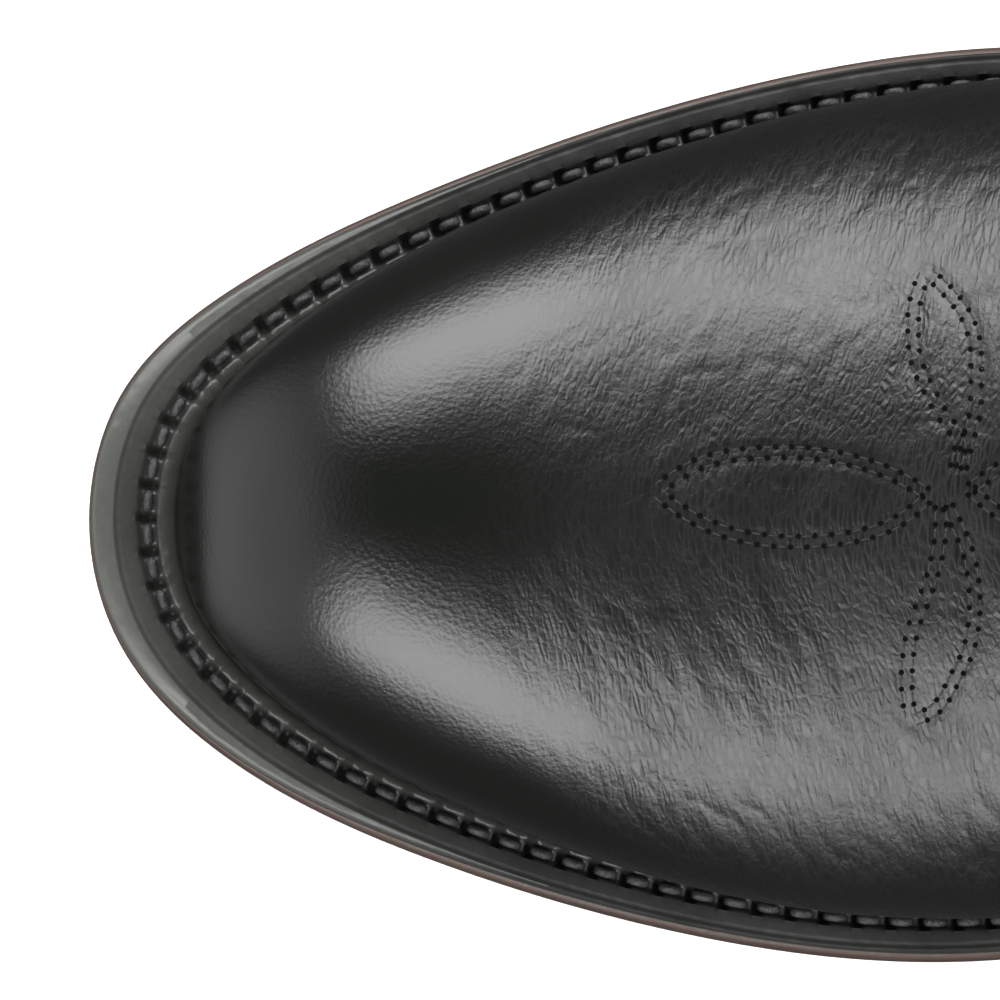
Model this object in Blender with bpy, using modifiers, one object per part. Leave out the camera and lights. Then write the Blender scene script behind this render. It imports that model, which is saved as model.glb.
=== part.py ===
"""A western boot for the right foot, built from its real pieces.

The frame is in metres with +Z up. The origin is the middle of the heel cap's underside, the toe points
along -Y, and the inner side of the foot (medial) is +X. Run it with
blender --background --python part.py, or from Blender's text editor.
"""

import math

import bmesh
import bpy
import numpy as np
from mathutils import Matrix, Vector

# ---------------------------------------------------------------- driving dimensions (metres)
SOLE_LENGTH = 0.305
BALL_WIDTH = 0.112
FOOT = SOLE_LENGTH / 0.305  # lengths along the foot are given for a sole of 0.305, and grow with it
HEEL_BACK = 0.036 * FOOT  # the sole ends this far behind the origin
HEEL_HEIGHT = 0.036  # the sole's underside above the floor, at the back of the heel
BREAST_Y = -0.034 * FOOT  # the heel's front face
TOE_SPRING = 0.010
SHAFT_HEIGHT = 0.325  # the shaft's leather at the side seams, above the floor
FRONT_DIP = 0.036  # how far the scalloped top falls at the front and at the back
BACK_DIP = 0.028
TOP_HALF_WIDTH = 0.048  # the shaft's half-width and depth at the top
TOP_DEPTH = 0.134
ANKLE_HALF_WIDTH = 0.037

OUTSOLE_THICKNESS = 0.005
WELT_THICKNESS = 0.003
CORK_THICKNESS = 0.0022
INSOLE_THICKNESS = 0.0028
SOCK_THICKNESS = 0.0015
HEEL_CAP_THICKNESS = 0.0065
LIFT_COUNT = 5
HEEL_TAPER = 0.11  # the heel narrows by this share from the seat to the floor
HEEL_SLOPE = 0.010  # the heel's back leans forward by this much

TOE_MARGIN = 0.0106  # from the sole's edge to the foot of the upper
SIDE_MARGIN = 0.0080
WAIST_MARGIN = 0.0055
SEAT_MARGIN = 0.0042

VAMP_THICKNESS = 0.0016
SHAFT_THICKNESS = 0.0014
STIFFENER_THICKNESS = 0.0013
LINING_THICKNESS = 0.0010
PIPING_WIDTH = 0.0040
PIPING_THICKNESS = 0.0012
BINDING_DEPTH = 0.006
BINDING_THICKNESS = 0.0009
STRAP_WIDTH = 0.026
STRAP_THICKNESS = 0.0020
STRAP_LEG = 0.052  # the sewn length of each strap, down the shaft
LOOP_HEIGHT = 0.020  # the free loop above its bend line
STRAP_SWING = 80  # degrees either way
NAIL_RADIUS = 0.0011
NAIL_LENGTH = 0.010
SHANK_WIDTH = 0.015
SHANK_THICKNESS = 0.0012
THREAD_RADIUS = 0.0003

CLEARANCE = 0.0003  # between pieces that touch
FOOT_GAP = 0.0005  # under the upper, over the sole's facets
LAYER_GAP = 0.0008  # between layers of leather, which also takes up the facets' flatness
BINDING_GAP = 0.0006  # the binding bridges the shaft's facets
SEAM_GAP = 0.0005  # between panels that meet edge to edge, along the ridge
SEAM_U_GAP = 0.003  # half the gap between the front and the back of the shaft, in u
LAP = 0.012  # how far the shaft runs under the vamp
FORM_OVERRUN = 0.010  # the form runs on above the shaft's top

# The sole's small shapes.
EDGE_ROUND = 0.0004  # the welt stands this far inside the outsole's edge
SLAB_CHAMFER, SHANK_CHAMFER = 0.0006, 0.0002
END_FLAT = 0.0004  # a rounded layer ends in a flat this far from its outline's tip
SOLE_END_FLAT, HEEL_END_FLAT = 0.0003, 0.0008
GROOVE = (0.50, 0.90)  # the stitching channel, as shares of the welt's width
GROOVE_DEPTH = 0.0007
GROOVE_SLOPE = 0.03
WELT_RUN_ON, RAND_RUN_ON = 0.004, 0.002  # the welt and the rand pass the heel's breast by these
CORK_LENGTH_BACK = 0.075 * FOOT  # the cork ends this far ahead of the heel's breast
SHANK_START, SHANK_LAP = 0.002, 0.020  # the shank starts behind the cork and runs over the heel
SOCK_INSET = 0.0008
HEEL_INSET = 0.0002
NAIL_PLACES = [(-0.170, -0.066), (0.170, -0.066), (-0.152, 0.020), (0.152, 0.020), (0.0, 0.062)]
NAIL_RECESS = 0.0012  # the nails' heads over the floor
NAIL_COVER = 0.001  # leather left over the nails' points

# ---------------------------------------------------------------- the sole's outline
# Each point is (share of the length from the toe, share of the ball width from the axis).
TIP_X = 0.018
MEDIAL_OUTLINE = [(0.013, 0.156), (0.056, 0.277), (0.138, 0.386), (0.236, 0.463), (0.328, 0.495),
                  (0.410, 0.474), (0.508, 0.378), (0.607, 0.300), (0.705, 0.281), (0.820, 0.300),
                  (0.918, 0.277), (0.974, 0.180)]
LATERAL_OUTLINE = [(0.013, 0.121), (0.056, 0.235), (0.138, 0.350), (0.236, 0.445), (0.328, 0.498),
                   (0.410, 0.505), (0.508, 0.450), (0.607, 0.370), (0.705, 0.320), (0.820, 0.307),
                   (0.918, 0.277), (0.974, 0.180)]
MARGIN_STATIONS = [0.0, 0.12, 0.36, 0.60, 1.0]
TIP_Y = HEEL_BACK - SOLE_LENGTH
FLAT_FROM, FLAT_TO = 0.30, 0.42  # the tread that rests on the floor
OUTLINE_SAMPLES = 900

# ---------------------------------------------------------------- the upper's profiles
# Ridge of the foot: (share of the length from the toe, height over the foot of the upper).
RIDGE_FOOT = [(0.040, 0.0085), (0.056, 0.0195), (0.082, 0.0290), (0.121, 0.0360), (0.177, 0.0415),
              (0.243, 0.0460), (0.325, 0.0530), (0.390, 0.0610), (0.456, 0.0710), (0.515, 0.0805),
              (0.561, 0.0885), (0.593, 0.0980)]
THROAT_Y = -0.083 * FOOT
THROAT_RISE = 0.101  # the bend of the ankle above the heel seat
# Front and back lines of the shaft: (share of the way up, share of the way out to the top).
SHAFT_LINE = [(0.14, -0.20), (0.34, 0.02), (0.60, 0.42), (0.82, 0.78), (1.0, 1.0)]
# Back of the heel: (distance behind the seat's end, height over the seat).
HEEL_CURVE = [(0.0009, 0.008), (0.0026, 0.019), (0.0026, 0.031), (0.0003, 0.047), (-0.0033, 0.064),
              (-0.0050, 0.082)]
# How the bottom line runs ahead of the ridge: (height of the ridge over the seat, extra travel).
FAN = [(0.024, 0.002), (0.036, 0.020), (0.052, 0.052), (0.074, 0.092), (0.097, 0.122), (0.118, 0.155)]
FAN_START = 0.03  # the bottom line starts to run ahead this far before the first of them
LEVEL_FROM = 0.90  # from this share of the shaft's height every rung is level
# Swell of the side over the foot of the upper: (distance from the toe's tip, swell).
SWELL = [(0.0, 0.0), (0.03, 0.0007), (0.10, 0.0021), (0.17, 0.0026), (0.22, 0.0022), (0.26, 0.0026),
         (0.29, 0.0030), (0.33, 0.0036), (0.36, 0.0048)]
ANKLE_RUN = 0.06  # from the last of them to the ankle's narrowest
ANKLE_SWELL = 0.002
SEAT_WIDE_Y = -0.012 * FOOT  # the sections over the seat are as wide as the edge is here
WIDEST_FROM_BACK = 0.054 * FOOT  # keeps the back of the heel round as the rungs pass its corner
WIDEST_SHARE = 0.45  # of a short rung
SHAFT_FROM, SHAFT_OVER = 0.03, 0.12  # the climb at which sections turn into the shaft's ovals
SHOULDER = 0.055  # how much squarer than an ellipse the forefoot's section is
SHOULDER_FADE = (0.11 * FOOT, 0.10 * FOOT)  # (from the toe's tip, over this length)
RIDGE_SHIFT = 0.004  # the ridge leans to the inner side over the ball
SHIFT_RISE, SHIFT_FADE = 0.09 * FOOT, 0.10 * FOOT
AXIS_BENDS = (0.05 * FOOT, 0.15 * FOOT)  # the sole's axis swings to the toe's tip between these
AXIS_LEAN = 0.7  # share of the tip's offset at the first bend
TOP_FORWARD = 0.47  # share of the top's depth ahead of the ankle's middle

# The pattern: u counts from the ridge, 0, to the sole, 1.
SEAM_U = 0.5  # the side seams
JOIN_U = 0.64  # the vamp meets the counter between here and the sole
JOIN_Y = -0.030 * FOOT
TONGUE_U = 0.26
TONGUE_RISE = 0.085  # over the heel seat
FOOT_FROM = 0.7  # from this |u| outwards a panel follows the foot of the upper
VAMP_SAG, SAG_FROM = 0.010, 0.10
COUNTER_RISE, STIFFENER_RISE = 0.064, 0.054  # over the heel seat
STIFFENER_U, STIFFENER_START = 0.72, 0.006
PUFF_END, PUFF_BOW = 0.060 * FOOT, 0.010
HEEL_STEP = (-0.075 * FOOT, 0.03)  # the lining steps in behind the stiffener: (from, over)
HEEL_STEP_END = (0.070, 0.035)
HEEL_STEP_U = (0.40, 0.14)
PIPING_GAP = 0.00172  # from the piping's corner to the counter's top edge
RUNG_HALF = 0.184  # half the way round the shaft
# Facets: rows are closer together over the ankle's bends, and columns at the seams and the heel.
SHAFT_ROWS = np.linspace(0, 1, round(SHAFT_HEIGHT / 0.0217) + 1) ** 1.6
BACK_STEPS = np.linspace(-1, 1, 25)
BACK_COLUMNS = 0.5 + 0.3 * BACK_STEPS + 0.2 * BACK_STEPS ** 3
FRONT_COLUMNS, SHAFT_COLUMNS, TOP_COLUMNS = 24, 16, 44
WELT_STEPS, RAND_STEPS, OUTSOLE_STEPS, INSOLE_STEPS = 28, 20, 44, 28
SHARP_ANGLE = math.radians(40)


def cubic(knots, values, start=None, end=None):
    """The smooth curve through values at knots, as a function. An end with no given slope is free."""
    x, y = np.asarray(knots, float), np.asarray(values, float)
    last, step = len(x) - 1, np.diff(x)
    secant = (np.diff(y, axis=0).T / step).T
    matrix, wanted = np.zeros((last + 1, last + 1)), np.zeros_like(y)
    for i in range(1, last):
        matrix[i, i - 1:i + 2] = step[i], 2 * (step[i - 1] + step[i]), step[i - 1]
        wanted[i] = 3 * (step[i] * secant[i - 1] + step[i - 1] * secant[i])
    matrix[0, :2], wanted[0] = ((2, 1), 3 * secant[0]) if start is None else ((1, 0), start)
    matrix[last, last - 1:], wanted[last] = ((1, 2), 3 * secant[-1]) if end is None else ((0, 1), end)
    slope = np.linalg.solve(matrix, wanted)

    def at(t):
        t = np.clip(np.asarray(t, float), x[0], x[-1])
        i = np.clip(np.searchsorted(x, t) - 1, 0, last - 1)
        w, h = (t - x[i]) / step[i], step[i]
        if y.ndim > 1:
            w, h = w[..., None], h[..., None]
        return (y[i] * (1 + 2 * w) * (1 - w) ** 2 + y[i + 1] * (3 - 2 * w) * w ** 2
                + h * w * (1 - w) * (slope[i] * (1 - w) - slope[i + 1] * w))
    return at


def line_through(points, start=None, end=None, samples=OUTLINE_SAMPLES):
    """(distance along it, points) of a smooth line through points, finely sampled."""
    points = np.asarray(points, float)
    knots = np.concatenate([[0], np.cumsum(np.linalg.norm(np.diff(points, axis=0), axis=1))])
    line = cubic(knots, points, start, end)(np.linspace(0, knots[-1], samples))
    along = np.concatenate([[0], np.cumsum(np.linalg.norm(np.diff(line, axis=0), axis=1))])
    return along, line


def smooth(t):
    t = np.clip(t, 0, 1)
    return t * t * t * (t * (6 * t - 15) + 10)


# ---------------------------------------------------------------- the sole
def half_outline(stations, side):
    """One side of the sole's edge from the toe's tip to the back of the heel, as (x, y) points."""
    tip, back = (TIP_X * BALL_WIDTH, TIP_Y), (0, HEEL_BACK)
    points = [(side * x * BALL_WIDTH, TIP_Y + s * SOLE_LENGTH) for s, x in stations]
    return line_through([tip, *points, back], (side, 0), (-side, 0))[1]


OUTLINES = {1: half_outline(MEDIAL_OUTLINE, 1), -1: half_outline(LATERAL_OUTLINE, -1)}
MARGIN = cubic(MARGIN_STATIONS, [TOE_MARGIN, SIDE_MARGIN, SIDE_MARGIN, WAIST_MARGIN, SEAT_MARGIN])


def inset_outline(side, extra=0.0, with_margin=True):
    """The sole's edge moved inwards, by the margin under the upper and by extra."""
    line = OUTLINES[side]
    along = np.gradient(line, axis=0)
    inward = np.stack([-along[:, 1], along[:, 0]], axis=1) * side
    inward /= np.linalg.norm(inward, axis=1)[:, None]
    share = (line[:, 1] - TIP_Y) / SOLE_LENGTH
    distance = extra + (MARGIN(share) if with_margin else 0)
    return line + inward * np.reshape(distance * np.ones(len(line)), (-1, 1))


def sole_under(y):
    """Height of the outsole's underside."""
    share = (np.asarray(y, float) - TIP_Y) / SOLE_LENGTH
    breast = (BREAST_Y - TIP_Y) / SOLE_LENGTH
    toe = TOE_SPRING * np.clip(1 - share / FLAT_FROM, 0, 1) ** 2
    seat_rise = 0.06 * HEEL_HEIGHT
    waist = (HEEL_HEIGHT - seat_rise) * smooth((share - FLAT_TO) / (breast - FLAT_TO))
    return toe + waist + seat_rise * np.clip((share - breast) / (1 - breast), 0, 1)


def sole_top(y):
    return sole_under(y) + OUTSOLE_THICKNESS


def upper_foot(y):
    """Height of the upper's lower rim, just over the outsole."""
    return sole_top(y) + FOOT_GAP


# ---------------------------------------------------------------- the upper's form
class Form:
    """The outer skin of the boot: rungs from the bottom-and-back line (E) to the ridge-and-front line (T).

    A point of the skin is named by (s, u). s is the distance along the ridge line from the toe's tip. u is
    0 on the ridge, 1 at the medial end of the rung and -1 at its lateral end. Past the heel the two ends
    meet at the back seam.
    """

    def __init__(self):
        self.edges = {side: inset_outline(side) for side in (1, -1)}
        tip_x, self.tip_y = self.edges[1][0]
        self.back_y = self.edges[1][-1, 1]
        self.seat_z = float(upper_foot(self.back_y))
        top_z = SHAFT_HEIGHT + FORM_OVERRUN
        throat_z = self.seat_z + THROAT_RISE
        middle = (THROAT_Y + self.back_y) / 2
        front_top = middle - TOP_DEPTH * TOP_FORWARD
        back_top = front_top + TOP_DEPTH
        ridge = [(self.tip_y, float(upper_foot(self.tip_y)))]
        for share, rise in RIDGE_FOOT:
            y = self.tip_y + share * SOLE_LENGTH - TOE_MARGIN * FOOT
            ridge.append((y, float(upper_foot(y)) + rise))
        ridge.append((THROAT_Y, throat_z))
        ridge += [(THROAT_Y + out * (front_top - THROAT_Y), throat_z + up * (top_z - throat_z))
                  for up, out in SHAFT_LINE]
        self.ridge_s, self.ridge = line_through(ridge, (0, 1))
        back = [(self.back_y, self.seat_z)]
        back += [(self.back_y + out, self.seat_z + up) for out, up in HEEL_CURVE]
        ankle_y, ankle_z = back[-1]
        back += [(ankle_y + out * (back_top - ankle_y), ankle_z + up * (top_z - ankle_z))
                 for up, out in SHAFT_LINE[1:]]
        self.back_s, self.back = line_through(back)
        self.length = self.ridge_s[-1]
        self.axis = cubic([self.tip_y, *(self.tip_y + bend for bend in AXIS_BENDS), self.back_y],
                          [tip_x, tip_x * AXIS_LEAN, 0, 0])
        self.lead_start, self.lead = self._lead()
        places = [self.tip_y + place * FOOT for place, _ in SWELL]
        places += [places[-1] + ANKLE_RUN, self.back_y + self.back_s[-1]]
        seat_half = float(self._edge_half(1, SEAT_WIDE_Y))
        swell = [swell for _, swell in SWELL]
        swell += [ANKLE_HALF_WIDTH - seat_half + ANKLE_SWELL, TOP_HALF_WIDTH - seat_half]
        self.swell = cubic(places, swell)

    def _lead(self):
        """(start, how far the bottom line runs ahead of the ridge's y at each distance along the ridge)."""
        reach = [self.ridge_at_height(self.seat_z + rise) for rise, _ in FAN]
        # Near the top every rung is level, so the back line's end is at the ridge's height.
        level_s = np.linspace(self.ridge_at_height(LEVEL_FROM * SHAFT_HEIGHT), self.length, 3)
        level_z = np.interp(level_s, self.ridge_s, self.ridge[:, 1])
        level_y = np.interp(level_s, self.ridge_s, self.ridge[:, 0])
        climb = np.interp(level_z, self.back[:, 1], self.back_s)
        lead = [travel * FOOT for _, travel in FAN] + list(self.back_y + climb - level_y)
        start = reach[0] - FAN_START
        return start, cubic([0, start, *reach, *level_s], [0, 0, *lead], 0)

    def ridge_at_height(self, z):
        """Distance along the ridge at which it first reaches height z, past the toe."""
        far = self.ridge[:, 0] > TIP_Y + FLAT_FROM * SOLE_LENGTH
        return float(np.interp(z, self.ridge[far, 1], self.ridge_s[far]))

    def _edge_half(self, side, y):
        edge = self.edges[side]
        return np.abs(np.interp(y, edge[:, 1], edge[:, 0]) - self.axis(y))

    def s_at_place(self, place):
        """Distance along the ridge of the rung that starts at this place on the bottom line."""
        s = np.linspace(0, self.length, 3000)
        return np.interp(place, self.place(s), s)

    def place(self, s):
        """Place on the bottom-and-back line: y along the sole, and past it y plus the climb."""
        y = np.interp(s, self.ridge_s, self.ridge[:, 0])
        return y + np.where(s > self.lead_start, self.lead(s), 0)

    def _widths(self, place, side):
        """(half-width of the section, angle at which it starts) on each side."""
        y_sole = np.clip(place, self.tip_y, self.back_y)
        y_wide = np.minimum(y_sole, SEAT_WIDE_Y)
        half = np.where(side >= 0, self._edge_half(1, y_sole), self._edge_half(-1, y_sole))
        half = np.where(place > self.back_y, 0, half)
        wide = np.where(side >= 0, self._edge_half(1, y_wide), self._edge_half(-1, y_wide))
        wide = np.maximum(wide + self.swell(place), half)
        tiny = 1e-5  # at the toe's tip both widths vanish
        return wide, np.where(place > self.back_y, 0, np.arcsin((half + tiny) / (wide + tiny)))

    def v_max(self, s, side):
        """The section's angle at the foot of the rung, as a share of the way round from the ridge."""
        return 1 - self._widths(self.place(s), side)[1] / math.pi

    def to_v(self, s, u):
        """The angle coordinate v of u. It runs past 1 over the back seam, as u does."""
        return np.where(u > 1, 2 - (2 - u) * self.v_max(s, -1), u * self.v_max(s, np.where(u < 0, -1, 1)))

    def to_u(self, s, v):
        u = np.where(v > 1, 2 - (2 - v) / self.v_max(s, -1), v / self.v_max(s, np.where(v < 0, -1, 1)))
        return np.where(v > 1, np.maximum(u, 1 + 1e-9), np.clip(u, -1, 1))

    def _at(self, s, v, side):
        """Points at the distance s and the angle coordinate v, which may pass the rung's foot a little."""
        place = self.place(s)
        y_sole = np.clip(place, self.tip_y, self.back_y)
        climb = np.clip(place - self.back_y, 0, None)
        end_y = np.where(climb > 0, np.interp(climb, self.back_s, self.back[:, 0]), y_sole)
        end_z = np.where(climb > 0, np.interp(climb, self.back_s, self.back[:, 1]), upper_foot(y_sole))
        top_y = np.interp(s, self.ridge_s, self.ridge[:, 0])
        top_z = np.interp(s, self.ridge_s, self.ridge[:, 1])
        rung = np.hypot(top_y - end_y, top_z - end_z)
        wide, start = self._widths(place, side)
        angle = math.pi * (1 - np.abs(v))
        shaft = smooth((place - self.back_y - SHAFT_FROM) / SHAFT_OVER)
        back_reach = WIDEST_FROM_BACK * (1 - shaft) + rung / 2 * shaft
        back_reach = np.minimum(back_reach, WIDEST_SHARE * rung / np.maximum(np.cos(start), 0.05))
        front_reach = rung - back_reach * np.cos(start)
        along = np.where(angle < math.pi / 2, back_reach * (np.cos(start) - np.cos(angle)),
                         back_reach * np.cos(start) - front_reach * np.cos(angle))
        share = along / np.maximum(rung, 1e-9)
        from_tip = place - self.tip_y
        fore = 1 - smooth((from_tip - SHOULDER_FADE[0]) / SHOULDER_FADE[1])
        near = np.clip((math.pi - angle) / (math.pi - start), 0, 1)
        square = SHOULDER * fore * np.sin(math.pi * near) ** 2
        x = wide * (np.sin(angle) + square) * side
        ball = smooth(from_tip / SHIFT_RISE) * (1 - smooth((from_tip - SHIFT_FADE) / SHIFT_FADE))
        x = x + self.axis(y_sole) + RIDGE_SHIFT * ball * smooth(share)
        return np.stack([x, end_y + (top_y - end_y) * share, end_z + (top_z - end_z) * share], axis=-1)

    def point(self, s, u):
        """Points of the skin at arrays s and u."""
        s, u = np.broadcast_arrays(np.asarray(s, float), np.asarray(u, float))
        side = np.where(u >= 0, 1, -1)
        return self._at(s, np.abs(u) * self.v_max(s, side), side)

    def normal(self, s, u):
        """Unit normals of the skin, pointing out."""
        s, u = np.broadcast_arrays(np.asarray(s, float), np.asarray(u, float))
        ds, dv = 4e-4, 3e-3
        side = np.where(u >= 0, 1, -1)
        v = np.abs(u) * self.v_max(s, side)
        s0, s1 = np.clip(s - ds, 0, self.length), np.clip(s + ds, 0, self.length)
        along = self._at(s1, v, side) - self._at(s0, v, side)
        before = np.where((v < dv)[..., None], self._at(s, dv - v, -side), self._at(s, v - dv, side))
        normal = np.cross(self._at(s, v + dv, side) - before, along) * side[..., None]
        normal[s < 1e-6] = (0, -1, 0)
        return normal / np.linalg.norm(normal, axis=-1)[..., None]

    def layer(self, s, u, depth):
        """Points that lie depth inside the skin."""
        depth = depth * np.ones(np.shape(s))
        return self.point(s, u) - self.normal(s, u) * depth[..., None]


FORM = Form()


def wrap(u):
    """u past 1 comes round the back seam to the other side."""
    return np.where(u > 1, u - 2, np.where(u < -1, u + 2, u))


# ---------------------------------------------------------------- pattern lines on the skin
S_JOIN = float(FORM.s_at_place(JOIN_Y))
S_SEAT_END = float(FORM.s_at_place(FORM.back_y))
S_COUNTER_TOP = float(FORM.s_at_place(FORM.back_y + COUNTER_RISE))
S_TONGUE = FORM.ridge_at_height(FORM.seat_z + TONGUE_RISE)
S_TOP = FORM.ridge_at_height(SHAFT_HEIGHT)


def quarter_line(u):
    """The top edge of the vamp: s at each u."""
    a = np.abs(u)
    tongue = (S_TONGUE - S_JOIN) * (1 - smooth(a / TONGUE_U))
    sag = -VAMP_SAG * np.sin(math.pi * np.clip((a - SAG_FROM) / (JOIN_U - SAG_FROM), 0, 1)) ** 2
    return S_JOIN + tongue + sag


def heel_top(a, edge, rise):
    """A top edge round the heel: (s, u) at a, from |u| = edge on the rung S_JOIN to rise over the seat."""
    found = []
    for at in np.atleast_1d(a):
        share, side = 1 - abs(2 * at - 1), 1 if at <= 0.5 else -1
        first = edge * FORM.v_max(S_JOIN, side)
        low = FORM.point(S_JOIN, side * edge)[2]
        v = first + (1 - first) * share
        s = np.linspace(S_JOIN, S_COUNTER_TOP + 0.02, 400)
        s = s[FORM.v_max(s, side) >= v - 1e-9]
        z = FORM._at(s, v, side)[:, 2]
        made = np.interp(low + (FORM.seat_z + rise - low) * math.sin(math.pi / 2 * share) ** 2, z, s)
        u = v / float(FORM.v_max(made, side))
        found.append((made, u if side == 1 else 2 - u + 1e-9))
    return np.array(found).T


def top_line(u):
    """The scalloped top of the shaft: s at each u."""
    a = np.abs(u)
    front = FRONT_DIP * (1 - smooth(a / SEAM_U))
    back = BACK_DIP * smooth((a - SEAM_U) / (1 - SEAM_U))
    return S_TOP - front - back


def between(lower, upper, share):
    """(s, u) a share of the way from one pattern line to another, straight in s and the angle."""
    (s0, u0), (s1, u1) = lower, upper
    s = s0 + (s1 - s0) * share
    v0, v1 = FORM.to_v(s0, u0), FORM.to_v(s1, u1)
    v = v0 + (v1 - v0) * share
    # Columns that start and end at the foot follow it all the way.
    side = np.where(u0 < 0, -1, 1)
    near = smooth((np.minimum(np.abs(u0), np.abs(u1)) - FOOT_FROM) / (1 - FOOT_FROM))
    near = near * (np.maximum(s0, s1) < S_SEAT_END)
    foot = FORM.v_max(s, side) - (FORM.v_max(s0, side) * (1 - share) + FORM.v_max(s1, side) * share)
    return s, wrap(FORM.to_u(s, v + side * near * foot))


# ---------------------------------------------------------------- meshes
def material(name, colour, roughness, metallic=0.0):
    made = bpy.data.materials.new(name)
    made.use_nodes = True
    shader = made.node_tree.nodes["Principled BSDF"]
    shader.inputs["Base Color"].default_value = (*colour, 1)
    shader.inputs["Roughness"].default_value = roughness
    shader.inputs["Metallic"].default_value = metallic
    return made


def add_object(name, vertices, faces, look, closed=True):
    mesh = bpy.data.meshes.new(name)
    mesh.from_pydata([tuple(map(float, v)) for v in vertices], [], faces)
    made = bpy.data.objects.new(name, mesh)
    BOOT.objects.link(made)
    mesh.materials.append(look)
    clean = bmesh.new()
    clean.from_mesh(mesh)
    bmesh.ops.remove_doubles(clean, verts=clean.verts, dist=2e-6)
    if closed:
        bmesh.ops.recalc_face_normals(clean, faces=clean.faces)
    clean.to_mesh(mesh)
    clean.free()
    mesh.shade_smooth()
    mesh.set_sharp_from_angle(angle=SHARP_ANGLE)
    return made


def loft(name, rings, look, round_again=False):
    """A closed solid through rings of points: its two ends are filled, or it comes round to its start."""
    count, total = len(rings[0]), len(rings)
    faces = []
    for i in range(total if round_again else total - 1):
        here, there = i * count, (i + 1) % total * count
        faces += [(here + j, here + (j + 1) % count, there + (j + 1) % count, there + j)
                  for j in range(count)]
    if not round_again:
        faces += [tuple(reversed(range(count))), tuple(range((total - 1) * count, total * count))]
    return add_object(name, [p for ring in rings for p in ring], faces, look)


def even_rows(s_end, rows):
    """Shares of s_end at which rungs from the toe are evenly spaced, at their foot and on the ridge."""
    s = np.linspace(0, s_end, OUTLINE_SAMPLES)
    edge = FORM.edges[1]
    arc = np.concatenate([[0], np.cumsum(np.linalg.norm(np.diff(edge, axis=0), axis=1))])
    measure = s + np.interp(FORM.place(s), edge[:, 1], arc)
    return np.interp(np.linspace(0, 1, rows + 1), measure / measure[-1], s / s_end)


def panel(name, lower, upper, depth, thickness, look, columns, rows):
    """A leather panel between two pattern lines: an open surface at depth under the skin, with Solidify.

    lower and upper give (s, u) at a from 0 to 1. depth is a distance, or a function of (s, u). columns and
    rows are a number of even ones, or their places from 0 to 1.
    """
    shares = np.linspace(0, 1, rows + 1) if isinstance(rows, int) else rows
    rows = len(shares) - 1
    a = np.linspace(0, 1, columns + 1) if isinstance(columns, int) else columns
    columns = len(a) - 1
    points, outward = [], []
    for row in shares:
        s, u = between(lower(a), upper(a), row)
        points += list(FORM.layer(s, u, depth(s, u) if callable(depth) else depth))
        outward += list(FORM.normal(s, u))
    wide = columns + 1
    faces = [(r * wide + c, r * wide + c + 1, (r + 1) * wide + c + 1, (r + 1) * wide + c)
             for r in range(rows) for c in range(columns)]
    middle = faces[len(faces) // 2 + columns // 4]
    p, q, r = (np.array(points[i]) for i in middle[:3])
    if np.dot(np.cross(q - p, r - q), outward[middle[0]]) < 0:
        faces = [face[::-1] for face in faces]
    made = add_object(name, points, faces, look, False)
    skin = made.modifiers.new("thickness", "SOLIDIFY")
    skin.thickness = thickness
    skin.offset = -1
    skin.use_quality_normals = True
    return made


def slab(name, ys, edge, bottom, top, look, chamfer=SLAB_CHAMFER):
    """A sole layer: a loft of flat sections between the edge lines of both sides.

    ys are the places of the sections, edge(side) is a line of (x, y) points, and bottom and top give a
    height at each y.
    """
    rings = []
    for y in ys:
        left, right = (float(np.interp(y, edge(side)[:, 1], edge(side)[:, 0])) for side in (-1, 1))
        low, high = float(bottom(y)), float(top(y))
        cut = min(chamfer, (right - left) / 4)
        rings.append([(left + cut, y, low), (right - cut, y, low), (right, y, low + cut), (right, y, high),
                      (left, y, high), (left, y, low + cut)])
    return loft(name, rings, look)


def rounded_steps(start, end, count, at_start=True, at_end=True):
    """Places from start to end that crowd together at a rounded end."""
    t = np.linspace(0, 1, count)
    if at_start and at_end:
        t = (1 - np.cos(math.pi * t)) / 2
    elif at_start:
        t = 1 - np.cos(math.pi / 2 * t)
    elif at_end:
        t = np.sin(math.pi / 2 * t)
    return start + (end - start) * t


# ---------------------------------------------------------------- the pieces under the foot
# From the welt's inner edge to the foot of the upper, at MARGIN_STATIONS.
STRIP_GAP = cubic(MARGIN_STATIONS, [0.0008, 0.0018, 0.0020, 0.0024, 0.0026])


def build_outsole():
    ys = rounded_steps(TIP_Y + SOLE_END_FLAT, HEEL_BACK - SOLE_END_FLAT, OUTSOLE_STEPS)
    slab("outsole", ys, lambda side: OUTLINES[side], sole_under, sole_top, SOLE_LEATHER)


def share_of_y(side, y):
    line = OUTLINES[side]
    return float(np.interp(y, line[:, 1], np.arange(OUTLINE_SAMPLES))) / (OUTLINE_SAMPLES - 1)


def edge_strip(start, end, steps, section, lift=CLEARANCE):
    """Rings of a strip on the outsole's edge, from the medial side round an end to the lateral side.

    start and end are shares of the outlines' samples, and the strip crosses the axis at the one that is
    0 or 1. The section's points are (share of the way in, height over the outsole).
    """
    shares = np.linspace(start, end, steps)
    if start == 0:
        shares = shares[::-1]
    rings = []
    for side in (1, -1):
        outer = inset_outline(side, EDGE_ROUND, False)
        foot = inset_outline(side, -STRIP_GAP((OUTLINES[side][:, 1] - TIP_Y) / SOLE_LENGTH))
        for share in (shares if side == 1 else shares[::-1][1:]):
            i = share * (OUTLINE_SAMPLES - 1)
            a, b = (np.array([np.interp(i, range(OUTLINE_SAMPLES), line[:, k]) for k in (0, 1)])
                    for line in (outer, foot))
            ring = []
            for across, up in section:
                x, y = a + (b - a) * across
                ring.append((x, y, float(sole_top(y)) + lift + up))
            rings.append(ring)
    return rings


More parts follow.
